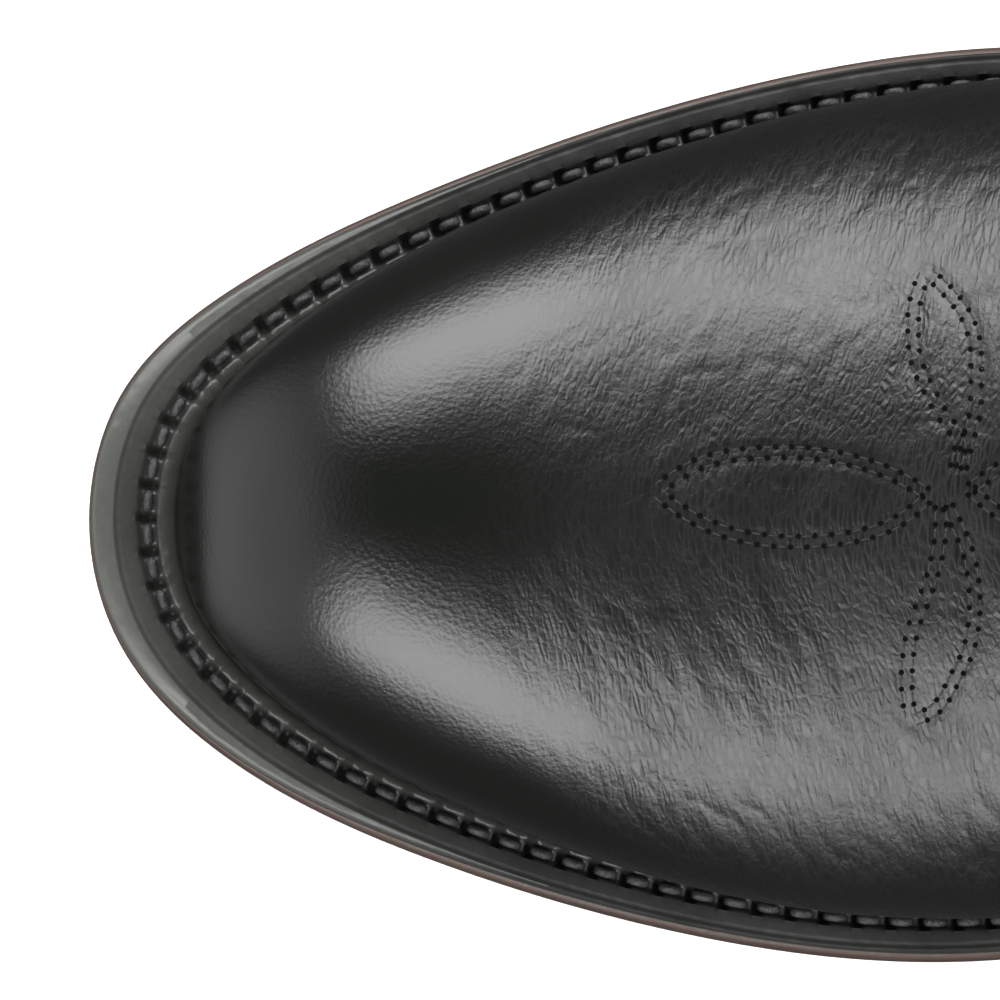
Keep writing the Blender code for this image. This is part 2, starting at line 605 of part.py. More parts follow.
def build_welt():
    """The welt runs from one heel corner round the toe to the other, with the stitches in its channel."""
    top = WELT_THICKNESS - CLEARANCE
    (near, far), low = GROOVE, top - GROOVE_DEPTH
    section = [(0.0, 0.0), (0.0, 0.6 * top), (0.06, 0.9 * top), (0.14, top), (near - GROOVE_SLOPE, top),
               (near, low), (far, low), (far + GROOVE_SLOPE, top), (1.0, top), (1.0, 0.0)]
    end = share_of_y(1, BREAST_Y - WELT_RUN_ON)
    loft("welt", edge_strip(0.0, end, WELT_STEPS, section), WELT_LEATHER)
    middle = (near + far) / 2
    lift = low + CLEARANCE + THREAD_RADIUS
    around = np.linspace(0, 2 * math.pi, 5, endpoint=False)
    path = [np.array(ring[0]) for ring in edge_strip(0.0, end, WELT_STEPS, [(middle, lift)])]
    rings = []
    for i, spot in enumerate(path):
        ahead = path[min(i + 1, len(path) - 1)] - path[max(i - 1, 0)]
        side = np.array([ahead[1], -ahead[0], 0]) / np.hypot(ahead[0], ahead[1])
        rings.append([spot + THREAD_RADIUS * (math.cos(t) * side + math.sin(t) * np.array([0, 0, 1]))
                      for t in around])
    loft("welt_thread", rings, THREAD)


def build_rand():
    """The rand: the strip between the counter and the outsole, round the heel."""
    top = WELT_THICKNESS - CLEARANCE
    section = [(0.0, 0.0), (0.0, 0.6 * top), (0.2, top), (1.0, top), (1.0, 0.0)]
    start = share_of_y(1, BREAST_Y - RAND_RUN_ON)
    loft("heel_rand", edge_strip(start, 1.0, RAND_STEPS, section), WELT_LEATHER)


# Layers inside the upper, counted from the skin inwards.
SHAFT_DEPTH = VAMP_THICKNESS + LAYER_GAP
STIFFENER_DEPTH = SHAFT_DEPTH + SHAFT_THICKNESS + LAYER_GAP
LINING_DEPTH = STIFFENER_DEPTH
HEEL_LINING_DEPTH = STIFFENER_DEPTH + STIFFENER_THICKNESS + LAYER_GAP
INSIDE = HEEL_LINING_DEPTH + LINING_THICKNESS + LAYER_GAP


def inner_edge(side):
    return inset_outline(side, INSIDE)


def span_of(edge):
    """The first and last place of a layer with this edge line."""
    return edge[0, 1] + END_FLAT, edge[-1, 1] - END_FLAT


def build_bottom_fill():
    """The cork, the shank, the insole and the sock, each a clearance over the one below."""
    def over_sole(rise):
        return lambda y: sole_top(y) + rise

    first, last = span_of(inner_edge(1))
    cork_end, low = BREAST_Y - CORK_LENGTH_BACK, CLEARANCE
    cork_top = low + CORK_THICKNESS
    slab("cork_filler", rounded_steps(first, cork_end, 22, True, False), inner_edge, over_sole(low),
         over_sole(cork_top), CORK)
    half = SHANK_WIDTH / 2
    strip = {side: np.array([(side * half, TIP_Y), (side * half, HEEL_BACK)]) for side in (1, -1)}
    slab("shank", np.linspace(cork_end + SHANK_START, BREAST_Y + SHANK_LAP, 16), strip.get,
         over_sole(low), over_sole(low + SHANK_THICKNESS), STEEL, SHANK_CHAMFER)
    low = cork_top + CLEARANCE
    slab("insole", rounded_steps(first, last, INSOLE_STEPS), inner_edge, over_sole(low),
         over_sole(low + INSOLE_THICKNESS), BOARD)
    low += INSOLE_THICKNESS + CLEARANCE
    narrow = {side: inset_outline(side, INSIDE + SOCK_INSET) for side in (1, -1)}
    slab("sock_liner", rounded_steps(*span_of(narrow[1]), INSOLE_STEPS), narrow.get, over_sole(low),
         over_sole(low + SOCK_THICKNESS), LINING)


# ---------------------------------------------------------------- the heel
def heel_height_at(y, level):
    """Height of a level of the heel, from 0 at the heel cap's top to 1 under the outsole."""
    return HEEL_CAP_THICKNESS + level * (float(sole_under(y)) - CLEARANCE - HEEL_CAP_THICKNESS)


def heel_ring(y, low, high):
    """One cross-section of a heel layer between the heights low and high."""
    ring = []
    for side, z in ((-1, low), (1, low), (1, high), (-1, high)):
        drop = 1 - z / HEEL_HEIGHT
        line = OUTLINES[side]
        x = float(np.interp(y, line[:, 1], line[:, 0])) * (1 - HEEL_TAPER * drop)
        x -= side * HEEL_INSET
        reach = (y - BREAST_Y) / (HEEL_BACK - BREAST_Y)
        ring.append((x, y - HEEL_SLOPE * drop * reach, z))
    return ring


def build_heel():
    """The rubber cap and the leather lifts, up to the outsole."""
    ys = rounded_steps(BREAST_Y, HEEL_BACK - HEEL_END_FLAT, 20, False, True)
    cap = loft("heel_cap", [heel_ring(y, 0.0, HEEL_CAP_THICKNESS) for y in ys], RUBBER)
    lifts = []
    for i in range(LIFT_COUNT):
        rings = [heel_ring(y, heel_height_at(y, i / LIFT_COUNT) + CLEARANCE,
                           heel_height_at(y, (i + 1) / LIFT_COUNT)) for y in ys]
        lifts.append(loft(f"heel_lift_{i + 1}", rings, HEEL_LEATHER))
    drive_nails(cap, lifts[0])


def drive_nails(cap, lift):
    """Five nails hold the cap to the lowest lift. Their holes have a running clearance."""
    top = min(NAIL_LENGTH, heel_height_at(0.0, 1 / LIFT_COUNT) - NAIL_COVER)
    for number, (across_ball, along_sole) in enumerate(NAIL_PLACES, 1):
        x, y = across_ball * BALL_WIDTH, along_sole * SOLE_LENGTH
        bpy.ops.mesh.primitive_cylinder_add(vertices=12, radius=NAIL_RADIUS, depth=top - NAIL_RECESS,
                                            location=(x, y, (top + NAIL_RECESS) / 2))
        nail = take_active(f"heel_nail_{number}", STEEL)
        nail.data.shade_smooth()
        nail.data.set_sharp_from_angle(angle=SHARP_ANGLE)
        bpy.ops.mesh.primitive_cylinder_add(vertices=12, radius=NAIL_RADIUS + CLEARANCE,
                                            depth=2 * (top + CLEARANCE), location=(x, y, 0))
        hole = take_active(f"hole_{number}", STEEL, CUTTERS)
        hole.hide_render = True
        hole.display_type = "WIRE"
        for target in (cap, lift):
            cut = target.modifiers.new(f"nail_{number}", "BOOLEAN")
            cut.operation, cut.solver, cut.object = "DIFFERENCE", "EXACT", hole


def take_active(name, look, collection=None):
    """The object just added, named, in its collection and with its material."""
    made = bpy.context.object
    made.name = made.data.name = name
    for holder in list(made.users_collection):
        holder.objects.unlink(made)
    (collection or BOOT).objects.link(made)
    made.data.materials.append(look)
    return made


# ---------------------------------------------------------------- the upper
def heel_share(s, u):
    """1 over the heel stiffener, 0 away from it, for the lining that steps in behind it."""
    place = FORM.place(s)
    ahead = smooth((place - HEEL_STEP[0]) / HEEL_STEP[1])
    over = 1 - smooth((place - FORM.back_y - HEEL_STEP_END[0]) / HEEL_STEP_END[1])
    return ahead * over * smooth((np.abs(u) - HEEL_STEP_U[0]) / HEEL_STEP_U[1])


def lining_depth(s, u):
    return LINING_DEPTH + (HEEL_LINING_DEPTH - LINING_DEPTH) * heel_share(s, u)


def foot_line(a, first):
    """The lower rim round the heel, from place first on the medial side to the same on the lateral side."""
    share = 1 - np.abs(2 * a - 1)
    place = first + (FORM.back_y - first) * np.sin(math.pi / 2 * share)
    s = np.where(share >= 1, S_SEAT_END, FORM.s_at_place(np.minimum(place, FORM.back_y - 1e-6)))
    return s, np.where(a > 0.5, 1 + 1e-9, 1.0)


def back_lower(s_join, share=0.36):
    """The lower edge of a back panel: down the rung s_join to the sole, round the heel, and up again."""
    def line(a):
        near = 1 - np.abs(2 * a - 1)
        foot = (np.clip(near, share, 1) - share) / (1 - share) / 2
        s_foot = foot_line(foot, FORM.place(np.array(s_join)))[0]
        seam = JOIN_U + SEAM_U_GAP
        down = seam + (1 - seam) * np.clip(near / share, 0, 1)
        s = np.where(near < share, s_join, s_foot)
        u = np.where(near < share, down, 1.0)
        return s, np.where(a > 0.5, 2 - u + 1e-9, u)
    return line


def across(a):
    """u from one side of the ridge to the other."""
    return 1 - 2 * a


def around(a, edge):
    """u from edge on the medial side, round the back seam, to the lateral side."""
    return edge + 2 * (1 - edge) * a


def rung(s, span=across):
    """A pattern line along the rung at s."""
    return lambda a: (s + 0 * a, span(a))


def build_forefoot():
    """The vamp, the toe box under it and the lining of the forefoot."""
    def vamp_edge(a):
        u = across(a)
        return np.where(np.abs(u) > JOIN_U, S_JOIN, quarter_line(u)) - SEAM_GAP, u

    def puff_edge(a):
        return PUFF_END + PUFF_BOW * np.cos(math.pi * across(a) / 2), across(a)

    tip = rung(0.0)
    panel("vamp", tip, vamp_edge, 0.0, VAMP_THICKNESS, VAMP_LEATHER, FRONT_COLUMNS, even_rows(S_JOIN, 26))
    panel("toe_box", tip, puff_edge, SHAFT_DEPTH, SHAFT_THICKNESS, BOARD, FRONT_COLUMNS,
          even_rows(PUFF_END, 8))
    panel("vamp_lining", tip, rung(S_JOIN - SEAM_GAP), LINING_DEPTH, LINING_THICKNESS, LINING,
          FRONT_COLUMNS, even_rows(S_JOIN, 16))


def build_heel_layers():
    """The counter outside the heel and the stiffener inside it."""
    panel("counter", lambda a: foot_line(a, JOIN_Y), lambda a: heel_top(a, JOIN_U, COUNTER_RISE), 0.0,
          VAMP_THICKNESS, VAMP_LEATHER, BACK_COLUMNS, 7)
    panel("heel_stiffener", lambda a: foot_line(a, JOIN_Y + STIFFENER_START),
          lambda a: heel_top(a, STIFFENER_U, STIFFENER_RISE), STIFFENER_DEPTH, STIFFENER_THICKNESS, BOARD,
          BACK_COLUMNS, 6)


def seam_u(s, side):
    """u of the side seam at s: it comes down straight to where the vamp meets the counter."""
    low = S_JOIN - LAP
    v_low = JOIN_U * FORM.v_max(low, side)
    return (v_low + (SEAM_U - v_low) * (s - low) / (S_TOP - low)) / FORM.v_max(s, side)


def piping_start():
    """s at the lower end of the piping, whose corner is PIPING_GAP over the counter's top edge."""
    edge = heel_top(np.linspace(0, 0.25, 300), JOIN_U, COUNTER_RISE)
    edge = FORM.point(*edge)
    s = np.linspace(S_JOIN, S_JOIN + 0.04, 200)
    corner = FORM.point(s, seam_u(s, 1) + PIPING_WIDTH / 2 / RUNG_HALF)
    apart = np.linalg.norm(corner[:, None] - edge[None], axis=2).min(axis=1)
    near = np.flatnonzero(apart < PIPING_GAP)[-1]
    return float(np.interp(PIPING_GAP, apart[near:near + 2], s[near:near + 2]))


def build_shaft():
    """The front and the back of the shaft and their linings."""
    def front_low(a):
        return (JOIN_U - SEAM_U_GAP) * across(a)

    def front_high(a):
        return (SEAM_U - SEAM_U_GAP) * across(a)

    def front_top(a):
        return top_line(front_high(a)), front_high(a)

    def back_top(a):
        u = around(a, SEAM_U + SEAM_U_GAP)
        return top_line(wrap(u)), u
    panel("shaft_front", lambda a: (quarter_line(front_low(a)) - LAP, front_low(a)), front_top,
          SHAFT_DEPTH, SHAFT_THICKNESS, SHAFT_LEATHER, SHAFT_COLUMNS, SHAFT_ROWS)
    panel("shaft_back", back_lower(S_JOIN - LAP), back_top, SHAFT_DEPTH, SHAFT_THICKNESS,
          SHAFT_LEATHER, BACK_COLUMNS, SHAFT_ROWS)
    panel("shaft_lining_front", rung(S_JOIN + SEAM_GAP, front_low), front_top, LINING_DEPTH,
          LINING_THICKNESS, LINING, SHAFT_COLUMNS, SHAFT_ROWS)
    panel("shaft_lining_back", back_lower(S_JOIN + SEAM_GAP), back_top, lining_depth,
          LINING_THICKNESS, LINING, BACK_COLUMNS, SHAFT_ROWS)


def build_trim():
    """The piping over the side seams and the binding folded over the top edge."""
    half = PIPING_WIDTH / 2 / RUNG_HALF
    ends = piping_start(), S_TOP - STRAP_LEG - 2 * CLEARANCE
    for side, name in ((1, "medial"), (-1, "lateral")):
        lines = [rung(s, lambda a, s=s, side=side: side * (seam_u(s, side) + half * across(a)))
                 for s in ends]
        panel(f"side_piping_{name}", *lines, SHAFT_DEPTH - CLEARANCE - PIPING_THICKNESS,
              PIPING_THICKNESS, SHAFT_LEATHER, 2, SHAFT_ROWS)
    outer, inner = BINDING_OUT, LINING_DEPTH + LINING_THICKNESS + BINDING_GAP
    over, thick = BINDING_GAP, BINDING_THICKNESS
    section = [(-BINDING_DEPTH, outer), (over + thick, outer), (over + thick, inner + thick),
               (-BINDING_DEPTH, inner + thick), (-BINDING_DEPTH, inner), (over, inner),
               (over, outer + thick), (-BINDING_DEPTH, outer + thick)]
    u = np.linspace(-1, 1, TOP_COLUMNS + 1)[:-1]
    rings = np.stack([FORM.layer(top_line(u) + up, u, depth) for up, depth in section], axis=1)
    loft("top_binding", rings, SHAFT_LEATHER, True)


BINDING_OUT = SHAFT_DEPTH - BINDING_GAP - BINDING_THICKNESS
STRAP_OUT = BINDING_OUT - CLEARANCE - STRAP_THICKNESS
STRAP_IN = LINING_DEPTH + LINING_THICKNESS + BINDING_GAP + BINDING_THICKNESS + CLEARANCE
# The loop's ends swing down beside its bend line, so the legs stop that much lower.
STRAP_HALF = (STRAP_IN - STRAP_OUT + STRAP_THICKNESS) / 2
STRAP_REACH = STRAP_HALF * math.sin(math.radians(STRAP_SWING)) + CLEARANCE
STRAP_BEND = BINDING_GAP + BINDING_THICKNESS + STRAP_REACH  # over the shaft's edge


def build_straps():
    """The two pull straps: sewn legs outside and inside the shaft, and a free loop over its edge."""
    half = STRAP_WIDTH / 2 / RUNG_HALF
    bend = S_TOP + STRAP_BEND
    for side, name in ((1, "medial"), (-1, "lateral")):
        def span(a, side=side):
            return side * (SEAM_U + half * across(a))

        ends = rung(S_TOP - STRAP_LEG, span), rung(bend - STRAP_REACH, span)
        for place, depth in (("outer", STRAP_OUT), ("inner", STRAP_IN)):
            panel(f"strap_{name}_{place}", *ends, depth, STRAP_THICKNESS, STRAP_LEATHER, 4, 6)
        u = np.array([side * SEAM_U])
        limbs = [FORM.layer(np.array([bend]), u, depth + STRAP_THICKNESS / 2)[0]
                 for depth in (STRAP_OUT, STRAP_IN)]
        middle, reach = (limbs[0] + limbs[1]) / 2, abs(limbs[0][0] - limbs[1][0]) / 2
        turn = np.linspace(0, math.pi, 9)
        straight = LOOP_HEIGHT - reach - STRAP_THICKNESS / 2
        path = [(reach, CLEARANCE)] + [(reach * math.cos(t), straight + reach * math.sin(t)) for t in turn]
        path.append((-reach, CLEARANCE))
        rings = []
        for i, (x, z) in enumerate(path):
            ahead = np.subtract(path[min(i + 1, len(path) - 1)], path[max(i - 1, 0)])
            out = np.array([ahead[1], -ahead[0]]) / np.hypot(*ahead) * STRAP_THICKNESS / 2
            rings.append([(middle[0] + side * (x + k * out[0]), middle[1] + w * STRAP_WIDTH / 2,
                           middle[2] + z + k * out[1]) for k, w in ((1, -1), (1, 1), (-1, 1), (-1, -1))])
        loop = loft(f"strap_{name}_loop", rings, STRAP_LEATHER)
        set_origin(loop, middle)


def set_origin(made, spot):
    """Moves the object's origin to spot, leaving the mesh where it is."""
    made.data.transform(Matrix.Translation(-Vector(spot)))
    made.location = spot


def main():
    build_outsole()
    build_welt()
    build_rand()
    build_bottom_fill()
    build_heel()
    build_forefoot()
    build_heel_layers()
    build_shaft()
    build_trim()
    build_straps()


for old in list(bpy.data.objects):
    bpy.data.objects.remove(old)
BOOT = bpy.data.collections.new("western_boot")
CUTTERS = bpy.data.collections.new("cutters")
for holder in (BOOT, CUTTERS):
    bpy.context.scene.collection.children.link(holder)
VAMP_LEATHER = material("vamp_leather", (0.012, 0.012, 0.012), 0.30)
SHAFT_LEATHER = material("shaft_leather", (0.013, 0.013, 0.013), 0.34)
STRAP_LEATHER = material("strap_leather", (0.013, 0.013, 0.013), 0.34)
WELT_LEATHER = material("welt_leather", (0.018, 0.018, 0.017), 0.38)
SOLE_LEATHER = material("sole_leather", (0.055, 0.026, 0.018), 0.50)
HEEL_LEATHER = material("heel_leather", (0.020, 0.016, 0.014), 0.40)
RUBBER = material("rubber", (0.020, 0.020, 0.020), 0.75)
LINING = material("lining", (0.42, 0.27, 0.15), 0.60)
BOARD = material("board", (0.36, 0.27, 0.18), 0.80)
CORK = material("cork", (0.38, 0.24, 0.13), 0.90)
STEEL = material("steel", (0.45, 0.45, 0.46), 0.35, 1.0)
THREAD = material("thread", (0.010, 0.010, 0.010), 0.60)
main()
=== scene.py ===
"""A black western boot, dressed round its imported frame.

Every class below makes one sub-assembly of the boot. The upper's panels, its linings, trims and stitches all
lie on one surface, the last, whose points are named by (s, u): s is the distance along the ridge from the
toe's tip over the instep to the top of the shaft, and u is 0 on the ridge, 1 at the inner (medial) foot of
the rung and -1 at its outer (lateral) foot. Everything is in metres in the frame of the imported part.
"""

from __future__ import annotations

import logging
import math
import sys
from dataclasses import dataclass, field
from enum import Enum
from typing import Any, Callable, Iterable, Sequence

import bpy
import numpy as np
from mathutils import Matrix, Vector
from mathutils.bvhtree import BVHTree
from mathutils.kdtree import KDTree


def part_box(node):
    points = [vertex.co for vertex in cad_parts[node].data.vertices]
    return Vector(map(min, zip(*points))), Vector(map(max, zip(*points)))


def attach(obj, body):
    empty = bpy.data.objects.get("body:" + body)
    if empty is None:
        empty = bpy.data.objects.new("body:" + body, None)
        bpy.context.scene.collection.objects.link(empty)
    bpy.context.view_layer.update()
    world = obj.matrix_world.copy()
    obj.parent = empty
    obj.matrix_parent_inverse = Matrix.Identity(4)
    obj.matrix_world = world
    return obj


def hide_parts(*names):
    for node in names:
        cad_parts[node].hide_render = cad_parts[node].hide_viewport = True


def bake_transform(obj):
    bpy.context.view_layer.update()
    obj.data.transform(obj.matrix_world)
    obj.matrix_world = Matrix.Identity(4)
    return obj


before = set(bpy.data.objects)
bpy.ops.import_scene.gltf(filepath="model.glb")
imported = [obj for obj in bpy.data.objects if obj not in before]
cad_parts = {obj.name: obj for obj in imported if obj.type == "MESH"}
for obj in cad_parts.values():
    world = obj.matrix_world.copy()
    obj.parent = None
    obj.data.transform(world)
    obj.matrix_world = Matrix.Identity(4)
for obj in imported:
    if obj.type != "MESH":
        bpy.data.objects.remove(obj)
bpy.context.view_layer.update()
LOG = logging.getLogger("boot")
Array = np.ndarray
Curve = Callable[[Array], Array]
Line = Callable[[Array], tuple[Array, Array]]
Height = Callable[[Array, Array, Array], Array]
Colour = tuple[float, float, float]
MM = 0.001
MEDIAL, LATERAL = 1, -1
SIDES = ((MEDIAL, "medial"), (LATERAL, "lateral"))


# ------------------------------------------------------------------ curves and noise
def smooth(t: Array | float) -> Array:
    """A step from 0 to 1 with level ends.

    Args:
        t: The place, where 0 and 1 are the step's ends.

    Returns:
        The height of the step at t.
    """
    t = np.clip(t, 0, 1)
    return t * t * t * (t * (6 * t - 15) + 10)


def hump(t: Array, centre: float, width: float) -> Array:
    """A bell of height 1 round centre."""
    return np.exp(-(((t - centre) / width) ** 2))


def cubic(knots: Sequence[float], values: Any, start: Any = None, end: Any = None) -> Curve:
    """The smooth curve through values at knots.

    Args:
        knots: Increasing places.
        values: A number or a point for each knot.
        start: The slope at the first knot, or None for a free end.
        end: The slope at the last knot, or None for a free end.

    Returns:
        A function of the place.
    """
    x, y = np.asarray(knots, float), np.asarray(values, float)
    last, step = len(x) - 1, np.diff(x)
    secant = (np.diff(y, axis=0).T / step).T
    matrix, wanted = np.zeros((last + 1, last + 1)), np.zeros_like(y)
    for i in range(1, last):
        matrix[i, i - 1:i + 2] = step[i], 2 * (step[i - 1] + step[i]), step[i - 1]
        wanted[i] = 3 * (step[i] * secant[i - 1] + step[i - 1] * secant[i])
    matrix[0, :2], wanted[0] = ((2, 1), 3 * secant[0]) if start is None else ((1, 0), start)
    matrix[last, last - 1:], wanted[last] = ((1, 2), 3 * secant[-1]) if end is None else ((0, 1), end)
    slope = np.linalg.solve(matrix, wanted)

    def at(t: Array) -> Array:
        """The curve at t, held at its ends."""
        t = np.clip(np.asarray(t, float), x[0], x[-1])
        i = np.clip(np.searchsorted(x, t) - 1, 0, last - 1)
        w, h = (t - x[i]) / step[i], step[i]
        if y.ndim > 1:
            w, h = w[..., None], h[..., None]
        return (y[i] * (1 + 2 * w) * (1 - w) ** 2 + y[i + 1] * (3 - 2 * w) * w ** 2
                + h * w * (1 - w) * (slope[i] * (1 - w) - slope[i + 1] * w))
    return at


def lengths(points: Array) -> Array:
    """Distance along a line of points at each of them."""
    return np.concatenate([[0], np.cumsum(np.linalg.norm(np.diff(points, axis=0), axis=1))])


def line_through(points: Any, start: Any = None, end: Any = None, samples: int = 900) -> tuple[Array, Array]:
    """A smooth line through points, finely sampled.

    Args:
        points: The points it passes.
        start: Its direction at the first point, or None.
        end: Its direction at the last point, or None.
        samples: How many points the result has.

    Returns:
        The distance along it at each sample, and the samples.
    """
    points = np.asarray(points, float)
    knots = lengths(points)
    line = cubic(knots, points, start, end)(np.linspace(0, knots[-1], samples))
    return lengths(line), line


def sampled(places: Array, along: Array, values: Array) -> Array:
    """Rows of values known at distances along a line, read at other places on it."""
    return np.stack([np.interp(places, along, column) for column in values.T], axis=1)


def resample(points: Array, step: float) -> Array:
    """The same line with points about step apart."""
    along = lengths(points)
    return sampled(np.linspace(0, along[-1], max(2, int(round(along[-1] / step)) + 1)), along, points)


def leftward(line: Array) -> Array:
    """Unit directions to the left of a flat line, at each of its points."""
    along = np.gradient(line, axis=0)
    side = np.stack([-along[:, 1], along[:, 0]], axis=1)
    return side / np.maximum(np.linalg.norm(side, axis=1), 1e-12)[:, None]


class Noise:
    """Smooth seeded noise between -1 and 1 over points in space."""

    SIZE = 48

    def __init__(self, seed: int) -> None:
        """Draws the lattice.

        Args:
            seed: Any number; the same one gives the same noise.
        """
        self.table = np.random.default_rng(seed).random((self.SIZE,) * 3) * 2 - 1

    def at(self, points: Array, scale: float | Sequence[float]) -> Array:
        """The noise at points.

        Args:
            points: Points, the last axis being x, y and z.
            scale: The size of one bump, or one size for each axis.

        Returns:
            A number for each point.
        """
        p = points / np.asarray(scale) + 19.37
        cell = np.floor(p).astype(int)
        w = smooth(p - cell)
        total = np.zeros(p.shape[:-1])
        for corner in np.ndindex(2, 2, 2):
            share = np.prod([w[..., k] if corner[k] else 1 - w[..., k] for k in range(3)], axis=0)
            i, j, k = ((cell[..., a] + corner[a]) % self.SIZE for a in range(3))
            total += share * self.table[i, j, k]
        return total

    def ridges(self, points: Array, scale: float | Sequence[float], sharp: float = 2.0) -> Array:
        """Thin valley lines between cells: 1 on a line and near 0 inside a cell."""
        return (1 - np.abs(self.at(points, scale))) ** sharp


# ------------------------------------------------------------------ the last
@dataclass
class Last:
    """The outer skin of the boot and the outline of its sole.

    Rungs run from the bottom-and-back line to the ridge-and-front line. Points of the skin are named (s, u).
    """

    sole_length: float = 0.305
    ball_width: float = 0.112
    heel_back: float = 0.036
    heel_height: float = 0.036
    breast_y: float = -0.034
    toe_spring: float = 0.010
    shaft_height: float = 0.325
    front_dip: float = 0.036
    back_dip: float = 0.028
    top_half_width: float = 0.048
    top_depth: float = 0.134
    ankle_half_width: float = 0.037
    outsole: float = 0.005
    foot_gap: float = 0.0005
    overrun: float = 0.010
    margins: tuple[float, ...] = (0.0106, 0.0080, 0.0080, 0.0055, 0.0042)
    margin_stations: tuple[float, ...] = (0.0, 0.12, 0.36, 0.60, 1.0)
    tip_x: float = 0.018
    flat_from: float = 0.30
    flat_to: float = 0.42
    throat_y: float = -0.083
    throat_rise: float = 0.101
    top_forward: float = 0.47  # share of the top's depth ahead of the ankle's middle
    axis_bends: tuple[float, float] = (0.05, 0.15)
    axis_lean: float = 0.7
    seat_wide_y: float = -0.012
    widest_from_back: float = 0.054
    widest_share: float = 0.45
    shaft_from: float = 0.03  # the climb at which sections turn into the shaft's ovals
    shaft_over: float = 0.12
    shoulder: float = 0.055
    shoulder_fade: tuple[float, float] = (0.11, 0.10)
    ridge_shift: float = 0.004
    shift_rise: float = 0.09
    shift_fade: float = 0.10
    seam_u: float = 0.5
    seam_u_gap: float = 0.003
    seam_gap: float = 0.0005
    join_u: float = 0.64
    join_y: float = -0.030
    lap: float = 0.012
    tongue_u: float = 0.26
    tongue_rise: float = 0.085
    foot_from: float = 0.7
    vamp_sag: float = 0.010
    sag_from: float = 0.10
    counter_rise: float = 0.064
    medial_outline: tuple = ((0.013, 0.156), (0.056, 0.277), (0.138, 0.386), (0.236, 0.463), (0.328, 0.495),
                             (0.410, 0.474), (0.508, 0.378), (0.607, 0.300), (0.705, 0.281), (0.820, 0.300),
                             (0.918, 0.277), (0.974, 0.180))
    lateral_outline: tuple = ((0.013, 0.121), (0.056, 0.235), (0.138, 0.350), (0.236, 0.445), (0.328, 0.498),
                              (0.410, 0.505), (0.508, 0.450), (0.607, 0.370), (0.705, 0.320), (0.820, 0.307),
                              (0.918, 0.277), (0.974, 0.180))
    ridge_foot: tuple = ((0.040, 0.0085), (0.056, 0.0195), (0.082, 0.0290), (0.121, 0.0360), (0.177, 0.0415),
                         (0.243, 0.0460), (0.325, 0.0530), (0.390, 0.0610), (0.456, 0.0710), (0.515, 0.0805),
                         (0.561, 0.0885), (0.593, 0.0980))
    shaft_line: tuple = ((0.14, -0.20), (0.34, 0.02), (0.60, 0.42), (0.82, 0.78), (1.0, 1.0))
    heel_curve: tuple = ((0.0009, 0.008), (0.0026, 0.019), (0.0026, 0.031), (0.0003, 0.047),
                         (-0.0033, 0.064), (-0.0050, 0.082))
    fan_rise: tuple = (0.024, 0.036, 0.052, 0.074, 0.097, 0.118)
    fan_lead: tuple = (0.002, 0.020, 0.052, 0.092, 0.122, 0.155)
    fan_start: float = 0.03
    level_from: float = 0.90
    swell_places: tuple = (0.0, 0.03, 0.10, 0.17, 0.22, 0.26, 0.29, 0.33, 0.36)
    swell_values: tuple = (0.0, 0.0007, 0.0021, 0.0026, 0.0022, 0.0026, 0.0030, 0.0036, 0.0048)
    ankle_run: float = 0.06
    ankle_swell: float = 0.002

    def __post_init__(self) -> None:
        """Works out the outlines, the profiles and the places of the pattern lines."""
        self.toe_y = self.heel_back - self.sole_length
        self.margin = cubic(self.margin_stations, self.margins)
        self.outlines = {MEDIAL: self._half_outline(self.medial_outline, MEDIAL),
                         LATERAL: self._half_outline(self.lateral_outline, LATERAL)}
        self.edges = {side: self.inset(side) for side, _ in SIDES}
        tip_x, self.tip_y = self.edges[MEDIAL][0]
        self.back_y = self.edges[MEDIAL][-1, 1]
        self.seat_z = float(self.upper_foot(self.back_y))
        self._profiles()
        self.axis = cubic([self.tip_y, *(self.tip_y + bend for bend in self.axis_bends), self.back_y],
                          [tip_x, tip_x * self.axis_lean, 0, 0])
        self.lead = self._lead()
        places = [self.tip_y + p for p in self.swell_places]
        seat_half = self._edge_half(MEDIAL, np.array([self.seat_wide_y]))[0]
        places += [places[-1] + self.ankle_run, self.back_y + self.back_s[-1]]
        swell = [*self.swell_values, self.ankle_half_width - seat_half + self.ankle_swell,
                 self.top_half_width - seat_half]
        self.swell = cubic(places, swell)
        self.s_join = float(self.s_at_place(self.join_y))
        self.s_seat_end = float(self.s_at_place(self.back_y))
        self.s_counter_top = float(self.s_at_place(self.back_y + self.counter_rise))
        self.s_tongue = self.ridge_at_height(self.seat_z + self.tongue_rise)
        self.s_top = self.ridge_at_height(self.shaft_height)
        self.lumps = Noise(11)

    # ---- the sole
    def _half_outline(self, stations: Sequence[tuple[float, float]], side: int) -> Array:
        """One side of the sole's edge, from the toe's tip to the back of the heel."""
        tip, back = (self.tip_x * self.ball_width, self.toe_y), (0, self.heel_back)
        points = [(side * x * self.ball_width, self.toe_y + s * self.sole_length) for s, x in stations]
        return line_through([tip, *points, back], (side, 0), (-side, 0))[1]

    def share(self, y: Array | float) -> Array:
        """Share of the sole's length from the toe."""
        return (np.asarray(y, float) - self.toe_y) / self.sole_length

    def inset(self, side: int, extra: Array | float = 0.0, with_margin: bool = True) -> Array:
        """The sole's edge moved inwards.

        Args:
            side: MEDIAL or LATERAL.
            extra: How far, on top of the margin.
            with_margin: Whether to start from the foot of the upper and not from the sole's edge.

        Returns:
            A line of (x, y) points from the toe to the heel.
        """
        line = self.outlines[side]
        distance = extra + (self.margin(self.share(line[:, 1])) if with_margin else 0)
        return line + self.inward(side) * np.reshape(distance * np.ones(len(line)), (-1, 1))

    def inward(self, side: int) -> Array:
        """Unit directions into the sole, at the points of one side's outline."""
        return leftward(self.outlines[side]) * side

